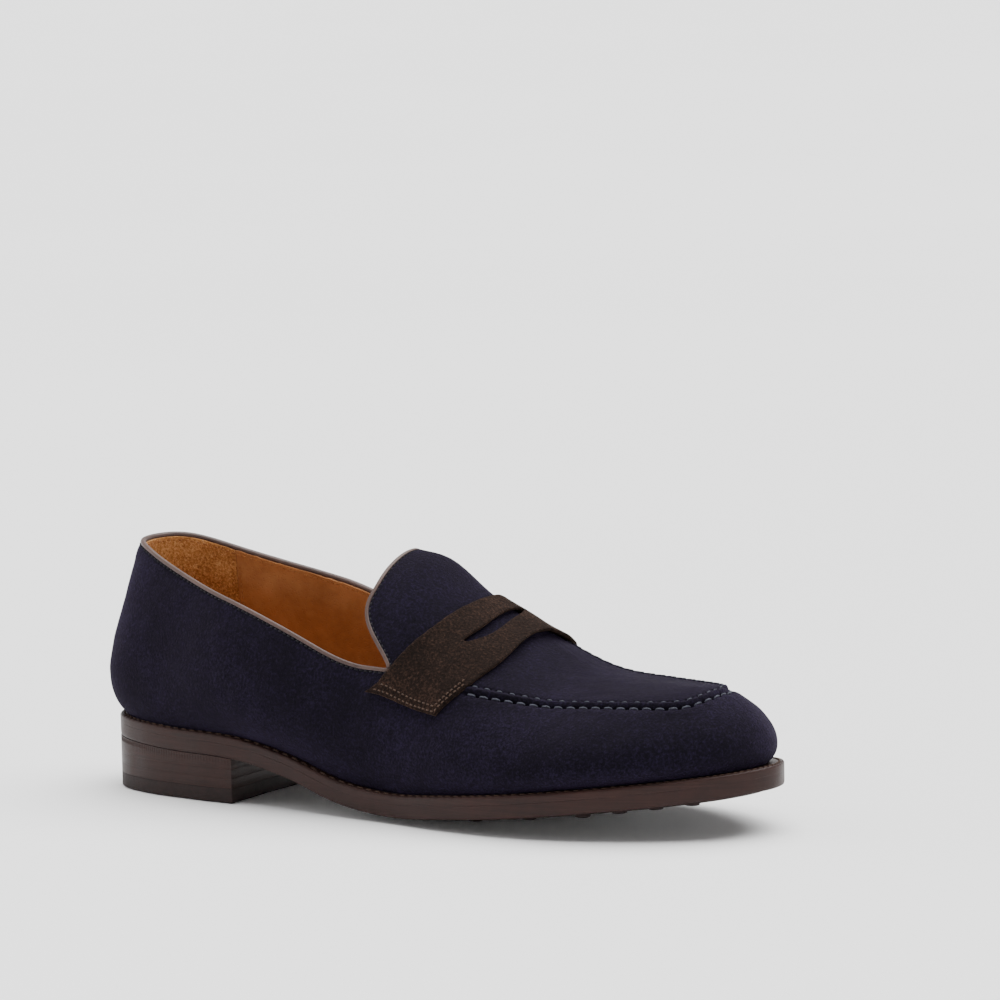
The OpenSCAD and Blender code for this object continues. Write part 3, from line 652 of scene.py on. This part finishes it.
def make_apron():
    """Apron and tongue, with its raised edge along the seam."""
    us = np.concatenate([np.linspace(0, .12, 10)[:-1], np.linspace(.12, 1, 300)])
    near = np.concatenate([np.arange(-.7, 6, .25), np.arange(6, 12, .8)])
    half = []
    for sign in (-1, 1):
        share, rows = np.zeros((len(us), 1)), []
        for distance in near:
            u = lerp(tongue_edge(share) + BINDING_STEP, TOE, us[:, None])
            e = edge(side_u(u, sign))
            share = (shifted(side_u(u, sign), e, distance) - e) / (1 - e)
            rows.append(share)
        rows.append(share + (1 - share) * np.linspace(0, 1, 22)[1:])
        half.append(np.concatenate(rows, 1))
    d = np.concatenate([near, np.linspace(12, 40, 21)])
    w = np.concatenate([half[0] - 1, (1 - half[1])[:, ::-1][:, 1:]], 1)
    d = np.concatenate([d, d[::-1][1:]])
    u = lerp(tongue_edge(1 - np.minimum(np.abs(w), 1)) + BINDING_STEP, TOE, us[:, None])
    w = w * (1 - edge(side_u(u, w)))
    point, normal = across(u, w)
    s = side_u(u, w)
    on_seam = seam_share(s)
    pits = from_edge(APRON_ROW)(holes(from_edge(APRON_ROW), SEAM_SPAN, STITCH_PITCH, TOP_SHARE + .1))[0]
    lift = on_seam * (apron_relief(d) + inner_share(s) * inner_raise(d)) + dimples(point, pits, .35, .5)
    fade = smooth((d - 2) / 6)
    lift = lift + fade * on_seam * (.22 * ripple(point, 30, 7) + .08 * ripple(point, 8, 8))
    crest = np.exp(-((d - .9) / 1.1)**2) * on_seam
    lift = lift + .1 * crest * np.cos(even_phase(s, STITCH_PITCH))
    outer = point + lift[..., None] * normal
    inner = point - SUEDE_T * normal
    piece("upper_apron_and_tongue", [shell(outer, inner)], NAVY, "navy_suede", "apron_and_tongue", sharp=70)


def lifted(at, height):
    """The same line raised by height(t) millimetres."""
    def moved(t):
        point, normal = at(t)
        return point + height(t)[..., None] * normal, normal
    return moved


def make_apron_stitching():
    def top_height(u):
        return .38 + inner_share(u) * (inner_raise(APRON_ROW) + .25)

    def side_height(u):
        return np.full_like(u, -.08)
    top_line = lifted(from_edge(APRON_ROW), top_height)
    side_line = lifted(from_edge(VAMP_ROW), side_height)
    top = row_of_stitches(top_line, SEAM_SPAN, STITCH_PITCH, TOP_SHARE, .28, .2)
    side = row_of_stitches(side_line, SEAM_SPAN, STITCH_PITCH, SIDE_SHARE, .37, .24)
    piece("thread_apron", [top, side], SLATE_THREAD, "slate_thread", "apron_stitching")


# ---- strap ----------------------------------------------------------------------------------
def strap_height(w, r=.5):
    """Height of the strap's underside above the upper: r from 0 at its back edge to 1 at its front."""
    arch = np.maximum(0, 1 - (np.abs(w - .02) / .6)**2)**1.5
    return .2 + STRAP_LIFT * arch * lerp(.15, 1, np.asarray(r)**1.3)


def slot_half(w):
    """Half the width of the crescent slot."""
    t = np.clip((w - SLOT_ENDS[0]) / (SLOT_ENDS[1] - SLOT_ENDS[0]), 0, 1)
    return SLOT_W / 2 * np.sin(np.pi * t**.6)**.8


def rounded(e, radius):
    """How far a rounded edge falls below the face, e millimetres from the edge."""
    t = np.clip(e / radius, 0, 1)
    return radius * (1 - np.sqrt(np.maximum(1 - (1 - t)**2, 0)))


def strap_band(front):
    """The half of the strap in front of the slot, or the half behind it."""
    w = lerp(STRAP_ENDS[0], STRAP_ENDS[1], (1 - np.cos(np.linspace(0, np.pi, 170))) / 2)[:, None]
    middle, half = slot_middle(w), slot_half(w)
    a, b = (middle + half, strap_front(w)) if front else (strap_back(w), middle - half)
    edge_rows = np.array([0, .08, .2, .4, .7, 1.0])
    across_rows = np.linspace(0, 1, 15)[1:-1]
    scale = 24.0
    width = (b - a) * scale
    rows = np.concatenate([edge_rows / width, lerp(1.0 / width, 1 - 1.0 / width, across_rows),
                           1 - edge_rows[::-1] / width], 1)
    u = lerp(a, b, rows)
    point, normal = across(u, np.broadcast_to(w, u.shape))
    open_share = smooth(half * scale / .7)
    end_gap = np.minimum(w - STRAP_ENDS[0], STRAP_ENDS[1] - w) * 62
    e_back = rows * width
    e_front = (1 - rows) * width
    slot_side = e_back if front else e_front
    free_side = e_front if front else e_back
    radius = .62
    fall = np.maximum(rounded(free_side, radius), rounded(slot_side, radius) * open_share)
    fall = np.maximum(fall, rounded(end_gap, radius))
    share = lerp(.5, 1, rows) if front else lerp(0, .5, rows)
    tilt = .4 * smooth(1 - free_side / 5) * np.maximum(0, 1 - np.abs(w) / .6) * (1 if front else 0)
    rough = .09 * ripple(point, 3.0, 21) * smooth(1 - free_side / 1.2) + .12 * ripple(point, 11, 22)
    base = strap_height(w, share) + tilt + rough
    top = point + (base + STRAP_T - fall)[..., None] * normal
    bottom = point + (base + fall)[..., None] * normal
    jag = .12 * ripple(point, 2.2, 23)[..., None] * unit(point[:, 1:2] - point[:, :1])
    top = top + jag * smooth(1 - np.minimum(free_side, slot_side + 3 * (1 - open_share)) / .6)[..., None]
    loop = np.concatenate([top, bottom[:, ::-1]], 1)
    return tube(loop)


def on_strap(w, u, height):
    point, normal = across(u, w)
    return point + (strap_height(w) + STRAP_T + height)[..., None] * normal, normal


def make_strap():
    """Strap and the double row of stitches on its two ends."""
    piece("strap", [strap_band(False), strap_band(True)], BROWN, "brown_suede", "penny_strap", sharp=50)
    parts = []
    for end, inwards in ((STRAP_ENDS[0], 1), (STRAP_ENDS[1], -1)):
        for row in (1, 2):
            w = end + inwards * (row * .021 - .009)

            def across_end(t, w=w, row=row):
                first, last = strap_back(w) + .06, strap_front(w) - .06 * row + .01
                return on_strap(np.full_like(t, w), lerp(first, last, t), np.zeros_like(t) - .05)

            def up_front(t, w=w, row=row, inwards=inwards):
                v = w + inwards * t * .16
                return on_strap(v, strap_front(v) - .06 * row + .01, np.zeros_like(t) - .02)
            parts.append(row_of_stitches(across_end, (0, 1), 2.1, .66, .31, .2))
            parts.append(row_of_stitches(up_front, (0, 1), 2.1, .66, .31, .2))
    piece("thread_strap", parts, BROWN_THREAD, "brown_thread", "strap_stitching")


# ---- bindings -------------------------------------------------------------------------------
# Rolled section: a up and away from the leather, b outwards
BINDING_SECTION = np.array([
    (-1.5, -.05), (-1.45, .15), (-1.2, .3), (-.75, .35), (-.3, .28), (.04, .08), (.2, -.25),
    (.24, -.75), (.14, -1.25), (-.12, -1.65), (-.55, -1.9), (-1.05, -1.95), (-1.35, -1.85),
    (-1.45, -1.65), (-1.3, -1.45), (-.95, -1.4), (-.75, -1.0), (-.9, -.5)])


def opening_line():
    """The whole edge of the mouth: inner throat, round the heel, outer throat, over the tongue."""
    v = np.linspace(-THROAT, THROAT, 1400)
    u = np.mod(v, TURNS)
    collar, n1 = skin(u, edge(u)), skin_normal(u, edge(u))
    tongue, n2 = across(*tongue_line(np.linspace(-1, 1, 900)))
    points = np.concatenate([collar, tongue[1:-1]])
    normals = np.concatenate([n1, n2[1:-1]])
    step = np.linalg.norm(np.diff(np.concatenate([points, points[:1]]), axis=0), axis=1)
    s = np.concatenate([[0], np.cumsum(step)])
    total = s[-1]
    count = int(total / .35)
    at = np.linspace(0, total, count, endpoint=False)
    wrap_p = np.concatenate([points, points[:1]])
    wrap_n = np.concatenate([normals, normals[:1]])
    p = np.stack([np.interp(at, s, wrap_p[:, k]) for k in range(3)], 1)
    n = np.stack([np.interp(at, s, wrap_n[:, k]) for k in range(3)], 1)
    reach = 8
    kernel = np.exp(-(np.arange(-20, 21) / reach)**2)
    kernel /= kernel.sum()

    def soften(values):
        long = np.concatenate([values[-20:], values, values[:20]])
        return np.stack([np.convolve(long[:, k], kernel, "valid") for k in range(3)], 1)
    return soften(p), unit(soften(n)), s[len(collar) - 1] / total


def make_bindings():
    """Rolled binding of collar and tongue, with the rows of stitches that hold it and the grip."""
    p, n, share = opening_line()
    count = len(p)
    along = unit(np.roll(p, -1, 0) - np.roll(p, 1, 0))
    n = unit(n - (n * along).sum(1, keepdims=True) * along)
    away = np.cross(n, along)
    swell = 1 + .04 * ripple(p, 6, 31)[:, None]
    up, out = BINDING_SECTION.T
    out = (out + .4) * swell - .4
    rings = p[:, None] + away[:, None] * up[:, None] + n[:, None] * out[..., None]
    cut = int(round(share * count))
    over = 3
    piece("binding_collar", [tube(rings[:cut + over])], TAUPE, "taupe_leather", "collar_binding", sharp=70)
    tail = np.concatenate([rings[cut:], rings[:over]])
    piece("binding_tongue", [tube(tail)], TAUPE, "taupe_leather", "tongue_binding", sharp=70)
    low_edge = p - away * -BINDING_ROW - n * .1
    low_in = p - away * 2.75 - n * 2.42

    def along_row(line, normal):
        def at(v):
            k = np.arange(count)
            return (np.stack([np.interp(v, k, line[:, j]) for j in range(3)], 1),
                    unit(np.stack([np.interp(v, k, normal[:, j]) for j in range(3)], 1)))
        return at
    outside = along_row(low_edge, n)
    parts = [row_of_stitches(outside, (6, count - 6), BINDING_PITCH, .7, .3, .22)]
    piece("thread_binding", parts, DARK_THREAD, "dark_thread", "binding_stitching")
    inside_row = along_row(low_in, -n)
    rows = [row_of_stitches(inside_row, (6, cut - 6), 2.6, .7, .28, .2)]
    for u in (GRIP_FRONT + .06, TURNS - GRIP_FRONT - .06):
        def up_grip(v, u=u):
            q = v * edge(u)
            uu = np.full_like(v, u)
            depth = LINING_IN + stiff_depth(uu, q) + LINING_T
            normal = skin_normal(uu, q)
            return skin(uu, q) - depth[..., None] * normal, -normal
        rows.append(row_of_stitches(up_grip, (.1, .88), 2.6, .7, .28, .2))
    piece("thread_lining", rows, TAN_THREAD, "tan_thread", "lining_stitching")


# ---- linings --------------------------------------------------------------------------------
def stiff_depth(u, p):
    """Room that the heel counter and the toe puff take outside the lining."""
    x = outline(u)[..., 0]
    heel = smooth((100 - x) / 24) * smooth((.92 - p / edge(u)) / .2)
    return STIFF_T * smooth(p / .08) * np.maximum(heel, smooth((x - 228) / 24))


def wall_lining(us, waviness, seed):
    """Outer and inner face of a lining along us, with a wavy cut edge under the binding."""
    us = us[:, None]
    wave = .16 * ripple(skin(us, edge(us)), 7, seed + 5) + .1 * ripple(skin(us, edge(us)), 2.5, seed + 6)
    top = shifted(us, edge(us), wave * waviness - 1.3)
    r = np.concatenate([np.linspace(0, .85, 40), np.linspace(.85, 1, 14)[1:]])
    p = top * r
    u = np.broadcast_to(us, p.shape)
    base, normal = skin(u, p), skin_normal(u, p)
    depth = LINING_IN + stiff_depth(u, p)
    rough = .22 * ripple(base, 26, seed) + .07 * ripple(base, 6, seed + 1)
    fade = smooth(r / .1) * smooth((1 - r) / .1)
    quilt = .1 * np.sin(ripple(base, 12, seed + 2) * 3) * waviness * smooth((r - .8) / .15)
    inner = base - (depth + LINING_T - fade * np.abs(rough) - quilt)[..., None] * normal
    outer = base - depth[..., None] * normal
    return outer, inner


def make_linings():
    """Quarter linings, heel grip, vamp lining and tongue lining."""
    for name, low, high in (("lining_quarter_outer", GRIP_FRONT + .01, LINING_FRONT - .01),
                            ("lining_quarter_inner", TURNS - LINING_FRONT + .01, TURNS - GRIP_FRONT - .01)):
        outer, inner = wall_lining(np.linspace(low, high, 150), 1, 41)
        piece(name, [shell(outer, inner)], TAN, "tan_leather", "quarter_lining", sharp=60)
    outer, inner = wall_lining(np.mod(np.linspace(-GRIP_FRONT, GRIP_FRONT, 240), TURNS), .3, 51)
    piece("lining_heel_grip", [shell(outer, inner)], TAN_SUEDE, "tan_suede", "heel_grip", sharp=60)
    us = np.linspace(0, 1, 60)[:, None]
    w = np.linspace(-.999, .999, 91)
    u = np.broadcast_to(lerp(LINING_FRONT + .01, TOE, us), (60, 91))
    w = np.broadcast_to(w, u.shape)
    point, normal = across(u, w)
    depth = LINING_IN + stiff_depth(side_u(u, w), np.maximum(1 - np.abs(w), 0))
    rough = .15 * ripple(point, 25, 61)
    outer = point - depth[..., None] * normal
    inner = point - (depth + LINING_T - np.abs(rough))[..., None] * normal
    piece("lining_vamp", [shell(outer, inner)], CANVAS, "canvas_lining", "vamp_lining", sharp=60)
    w = np.linspace(-1, 1, 81)[None]
    u = lerp(tongue_edge(1 - np.abs(w)) + .11, LINING_FRONT - .01, np.linspace(0, 1, 40)[:, None])
    point, normal = across(u, w * (1 - edge(side_u(u, w))))
    rough = .12 * ripple(point, 20, 71)
    outer = point - LINING_IN * normal
    inner = point - (LINING_IN + LINING_T - np.abs(rough))[..., None] * normal
    piece("lining_tongue", [shell(outer, inner)], TAN, "tan_leather", "tongue_lining", sharp=60)


# ---- sole -----------------------------------------------------------------------------------
def plan_loop(inset, us):
    """The sole's outline moved inwards."""
    return inset_outline(us, np.broadcast_to(inset, us.shape))


def layer(profile, us):
    """Ring of sections round the outline; profile lists (inset, height from the welt's top)."""
    rings = []
    for inset, z in profile:
        q = plan_loop(inset, us)
        rings.append(np.concatenate([q, (welt_top(q[:, 0]) + z)[:, None]], 1))
    return np.stack(rings, 1)


def cap(inset, z, us, turned):
    """Face across the shoe between mirrored points of a loop."""
    a, b = plan_loop(inset, us), plan_loop(inset, TURNS - us)
    t = np.linspace(0, 1, 25)[:, None]
    q = a[:, None] + (b - a)[:, None] * t
    grid = np.concatenate([q, (welt_top(q[..., 0]) + z)[..., None]], -1)
    return grid.reshape(-1, 3), grid_faces(len(us), 25, turned=turned)


def make_outsole():
    """Outsole with softened edges."""
    us = np.linspace(0, TURNS, 521)[:-1]
    profile = [(1.4, -WELT_T - .02), (.02, -WELT_T - .02), (0, -WELT_T - .04), (0, -WELT_T - .4),
               (0, -EDGE_T + 1.6), (.04, -EDGE_T + .8), (.22, -EDGE_T + .22), (.8, -EDGE_T)]
    grid = layer(profile, us)
    grid[:, 1:-1, 2] += .06 * ripple(grid[:, 1:-1], 24, 81)
    half = np.linspace(0, TOE, 261)
    parts = [(grid.reshape(-1, 3), grid_faces(*grid.shape[:2], ring=True)),
             cap(1.4, -WELT_T - .02, half, False), cap(.8, -EDGE_T, half, True)]
    piece("sole_outsole", parts, SOLE, "sole_leather", "outsole", weld=True)


WELT_STITCHES = 180
WELT_ROW = 1.9


def make_welt():
    """Wheeled welt and the stitches that lie in its groove."""
    us = np.linspace(0, TURNS, WELT_STITCHES * 6 + 1)[:-1]
    wheel = np.cos(np.arange(len(us)) / 6 * 2 * np.pi)
    profile = [(12, -WELT_T + .01), (.02, -WELT_T + .01), (0, -WELT_T + .03), (0, -WELT_T + .4),
               (0, -.95), (.12, -.5), (.45, -.14), (.95, .04), (1.4, -.1), (WELT_ROW, -.28),
               (2.3, -.1), (2.7, .02), (4, 0), (12, 0)]
    grid = layer(profile, us)
    grid[:, 5:8, 2] += wheel[:, None] * np.array([.04, .09, .07])
    grid[:, 8:11, 2] -= (.5 + .5 * wheel[:, None]) * np.array([.08, .22, .08])
    ring = [tuple(f) for f in grid_faces(*grid.shape[:2], ring=True)]
    m = grid.shape[1]
    close = [(i * m + m - 1, (i + 1) % len(us) * m + m - 1, (i + 1) % len(us) * m, i * m)
             for i in range(len(us))]
    piece("sole_welt", [(grid.reshape(-1, 3), ring + close)], WELT, "welt_leather", "welt", weld=True)

    def at(u):
        q = plan_loop(WELT_ROW, u)
        point = np.concatenate([q, (welt_top(q[:, 0]) - .18)[:, None]], 1)
        return point, np.broadcast_to([0, 0, 1.0], point.shape)
    marks = np.linspace(0, TURNS, WELT_STITCHES + 1)
    a, b = marks[:-1], marks[1:]
    first, last = at(lerp(a, b, .14))[0], at(lerp(a, b, .86))[0]
    piece("thread_welt", [stitch_rods(first, last, at(a)[1], .36, .26)], BROWN_THREAD, "brown_thread",
          "welt_stitching")


def heel_loop(inset, count=620, breast_count=60):
    """Plan of the heel moved inwards, with a straight breast."""
    u = np.linspace(2, 5, 600)
    limit = np.interp(BREAST - inset, plan_loop(inset, u)[:, 0], u)
    sweep = np.linspace(-limit, limit, count)
    back = plan_loop(inset, sweep)
    a, b = back[-1], back[0]
    t = np.linspace(0, 1, breast_count + 2)[1:-1, None]
    hollow = .8 * np.sin(np.pi * t)
    front = a + (b - a) * t - hollow * np.array([1, 0])
    return np.concatenate([back, front])


def heel_part(name, profile, material, slot, node, top=None):
    """Stack of loops; profile lists (inset, height); top replaces the last heights along x."""
    rings = []
    for inset, z in profile:
        q = heel_loop(inset)
        height = np.full(len(q), z) if z is not None else welt_top(q[:, 0]) - EDGE_T - .05
        rings.append(np.concatenate([q, height[:, None]], 1))
    rings = np.stack(rings)
    if top is not None:
        rings = top(rings)
    piece(name, [tube(rings)], material, slot, node, sharp=50)


def make_heel():
    """Rubber top piece and three lifts, the upper one wheeled along the joint with the sole."""
    low = TOP_PIECE_T + .04
    mid, high = low + LIFT_T, low + 2 * LIFT_T
    heel_part("heel_top_piece", [(1.1, 0), (.4, .12), (.1, .4), (0, .9), (0, low - .4), (.06, low - .12),
              (.2, low - .02)], RUBBER, "black_rubber", "heel_top_piece")
    for name, base in (("heel_lift_lower", low), ("heel_lift_middle", mid)):
        heel_part(name, [(.06, base), (.02, base + .05), (0, base + .2), (0, base + LIFT_T - .2),
                  (.02, base + LIFT_T - .05), (.06, base + LIFT_T)], SOLE, "sole_leather", name)

    def wheeled(rings):
        count = rings.shape[1]
        for k, drop, depth in ((-5, 2.2, 0), (-4, 1.8, .26), (-3, .5, .26), (-2, .25, 0), (-1, .02, 0)):
            q = rings[k]
            q[:, 2] = welt_top(q[:, 0]) - EDGE_T - drop
            teeth = .5 + .5 * np.cos(np.arange(count) * 2 * np.pi / 4)
            centre = np.array([35, 0])
            q[:, :2] += unit(centre - q[:, :2]) * (depth * teeth)[:, None]
        return rings
    heel_part("heel_lift_upper", [(.06, high), (.02, high + .05), (0, high + .2), (0, high + 1), (0, None),
              (0, None), (.02, None), (.08, None)], SOLE, "sole_leather", "heel_lift_upper", wheeled)


TREAD_INSET = 7.0
TREAD_BACK = 120.0
STUD_PITCH = 14.0
STUD_R = 3.0


def make_tread():
    """Thin rubber under the forepart with small round studs."""
    u = np.linspace(4, 6.5, 600)
    limit = np.interp(TREAD_BACK, plan_loop(TREAD_INSET, u)[:, 0], u)
    u2 = np.linspace(TURNS - 6.5, TURNS - 4, 600)
    limit2 = np.interp(-TREAD_BACK, -plan_loop(TREAD_INSET, u2)[:, 0], u2)
    us = np.linspace(limit, TOE, 161)
    vs = np.linspace(limit2, TOE, 161)
    grids = []
    for inset, z in ((TREAD_INSET, -EDGE_T - .02), (TREAD_INSET + .1, -EDGE_T - .9),
                     (TREAD_INSET + .6, -EDGE_T - TREAD_T)):
        a, b = plan_loop(inset, us), plan_loop(inset, vs)
        t = np.linspace(0, 1, 33)[:, None]
        q = a[:, None] + (b - a)[:, None] * t
        grids.append(np.concatenate([q, (welt_top(q[..., 0]) + z)[..., None]], -1))
    parts = [shell(grids[0], grids[2])]
    outer = Curve(*[tuple(p) for p in OUTLINE[:14]])
    inner = Curve(*[tuple(OUTLINE[-k % TURNS]) for k in range(14)])
    turn = np.linspace(0, 2 * np.pi, 28, endpoint=False)
    steps = ((.0, STUD_R + .35), (.25, STUD_R + .05), (.75, STUD_R), (.92, STUD_R - .12),
             (1.0, STUD_R - .45), (1.0, STUD_R - 1.0), (.8, STUD_R - 1.3), (.8, .4))
    for i in range(13):
        for j in range(-4, 5):
            x = TREAD_BACK + 8 + i * STUD_PITCH * .87
            y = (j + (i % 2) / 2) * STUD_PITCH
            rim = TREAD_INSET + STUD_R + 1.5
            if not (outer(x) + rim < y < inner(x) - rim and x < 286):
                continue
            root = welt_top(x) - EDGE_T - TREAD_T + .1
            tip = max(root - .1 - STUD_H, 0)
            rings = np.stack([np.stack([x + r * np.cos(turn), y + r * np.sin(turn),
                                        np.full(28, lerp(root, tip, k))], 1) for k, r in steps])
            parts.append(tube(rings))
    piece("sole_tread", parts, RUBBER, "black_rubber", "forepart_rubber", sharp=35)


def make_sock():
    """Leather sock liner, slightly trodden."""
    us = np.linspace(0, TOE, 200)

    def surface_at(extra, z):
        a, b = feather(us, extra), feather(TURNS - us, extra)
        t = (1 - np.cos(np.linspace(0, np.pi, 41))) / 2
        q = a[:, None] + (b - a)[:, None] * t[:, None]
        point = np.concatenate([q, (welt_top(q[..., 0]) + z)[..., None]], -1)
        tread = .25 * ripple(point, 45, 91) + .06 * ripple(point, 10, 92)
        rim = smooth(np.minimum(t, 1 - t) / .08)
        point[..., 2] += np.minimum(tread, .25) * rim - .1
        return point
    top, under = surface_at(2.0, SOCK_TOP - .1), surface_at(2.3, SOCK_TOP - .8)
    piece("sock_liner_leather", [shell(top, under)], TAN, "tan_leather", "sock_liner", sharp=60)


def finish_inside():
    """Node materials for the CAD pieces that stay."""
    for node, look in (("insole", INSOLE), ("insole_rib", INSOLE), ("cork_filler", CORK), ("shank", STEEL),
                       ("heel_nails", STEEL), ("top_piece_pins", BRASS), ("toe_puff", BOARD),
                       ("heel_counter", BOARD)):
        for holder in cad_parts[node].material_slots:
            holder.material = look


# ---- camera, floor and light ----------------------------------------------------------------
AZIMUTH, ELEVATION = math.radians(32.60), math.radians(9.20)
PAN, TILT, ROLL = math.radians(.856), math.radians(-2.599), math.radians(1.333)
DISTANCE = 1807.6
AIM = np.array([150, 0, 40.0])


def make_camera():
    """The photo's viewpoint."""
    sa, ca, se, ce = (math.sin(AZIMUTH), math.cos(AZIMUTH), math.sin(ELEVATION), math.cos(ELEVATION))
    back = np.array([sa * ce, -ca * ce, se])
    right = np.array([ca, sa, 0])
    rows = np.array([right, np.cross(back, right), back])
    pan = np.array(Matrix.Rotation(PAN, 3, "Y"))
    tilt = np.array(Matrix.Rotation(TILT, 3, "X"))
    roll = np.array(Matrix.Rotation(ROLL, 3, "Z"))
    turned = (roll @ tilt @ pan @ rows).T
    data = bpy.data.cameras.new("camera")
    data.sensor_width = 36
    data.lens = 162.2
    data.clip_end = 100
    camera = bpy.data.objects.new("camera", data)
    place = Matrix.Translation(placed(AIM + back * DISTANCE))
    camera.matrix_world = place @ Matrix(turned.tolist()).to_4x4()
    bpy.context.scene.collection.objects.link(camera)
    bpy.context.scene.camera = camera


def make_stage():
    """Pale floor that rises gently far away, and the even light of the sky."""
    look = Looks("studio_floor")
    spread = look.noise(.6, 3, .5)
    colour = look.mix(look.spread(spread), (.86, .86, .86, 1), (.9, .9, .9, 1))
    look.finish(Base_Color=colour, Roughness=.7, Specular_IOR_Level=.2)
    side = np.linspace(-1, 1, 161)
    reach = np.sign(side) * np.abs(side)**2 * 60
    x, y = np.meshgrid(reach, reach, indexing="ij")
    z = np.maximum(np.hypot(x, y) - 4, 0)**1.5 * .03
    points = np.stack([x, y, z], -1).reshape(-1, 3)
    mesh = bpy.data.meshes.new("floor")
    mesh.from_pydata(points.tolist(), [], grid_faces(161, 161).tolist())
    mesh.shade_smooth()
    mesh.materials.append(look.material)
    floor = bpy.data.objects.new("floor", mesh)
    floor.location.z = -.0002
    bpy.context.scene.collection.objects.link(floor)
    world = bpy.data.worlds.new("studio")
    world.use_nodes = True
    world.node_tree.nodes["Background"].inputs["Color"].default_value = (1, 1, 1, 1)
    world.node_tree.nodes["Background"].inputs["Strength"].default_value = .3
    bpy.context.scene.world = world


def sun(name, toward, strength, spread):
    """Even soft light from one side of the sky."""
    data = bpy.data.lights.new(name, "SUN")
    data.energy = strength
    data.angle = math.radians(spread)
    lamp = bpy.data.objects.new(name, data)
    lamp.rotation_euler = (-Vector(toward)).to_track_quat("-Z", "Y").to_euler()
    bpy.context.scene.collection.objects.link(lamp)


make_camera()
make_stage()
sun("light_above", (.1, .25, 1), 7.4, 70)
sun("light_left", (-1, -.3, .7), .8, 50)
make_vamp()
make_apron()
make_apron_stitching()
make_strap()
make_bindings()
make_linings()
make_outsole()
make_welt()
make_heel()
make_tread()
make_sock()
finish_inside()
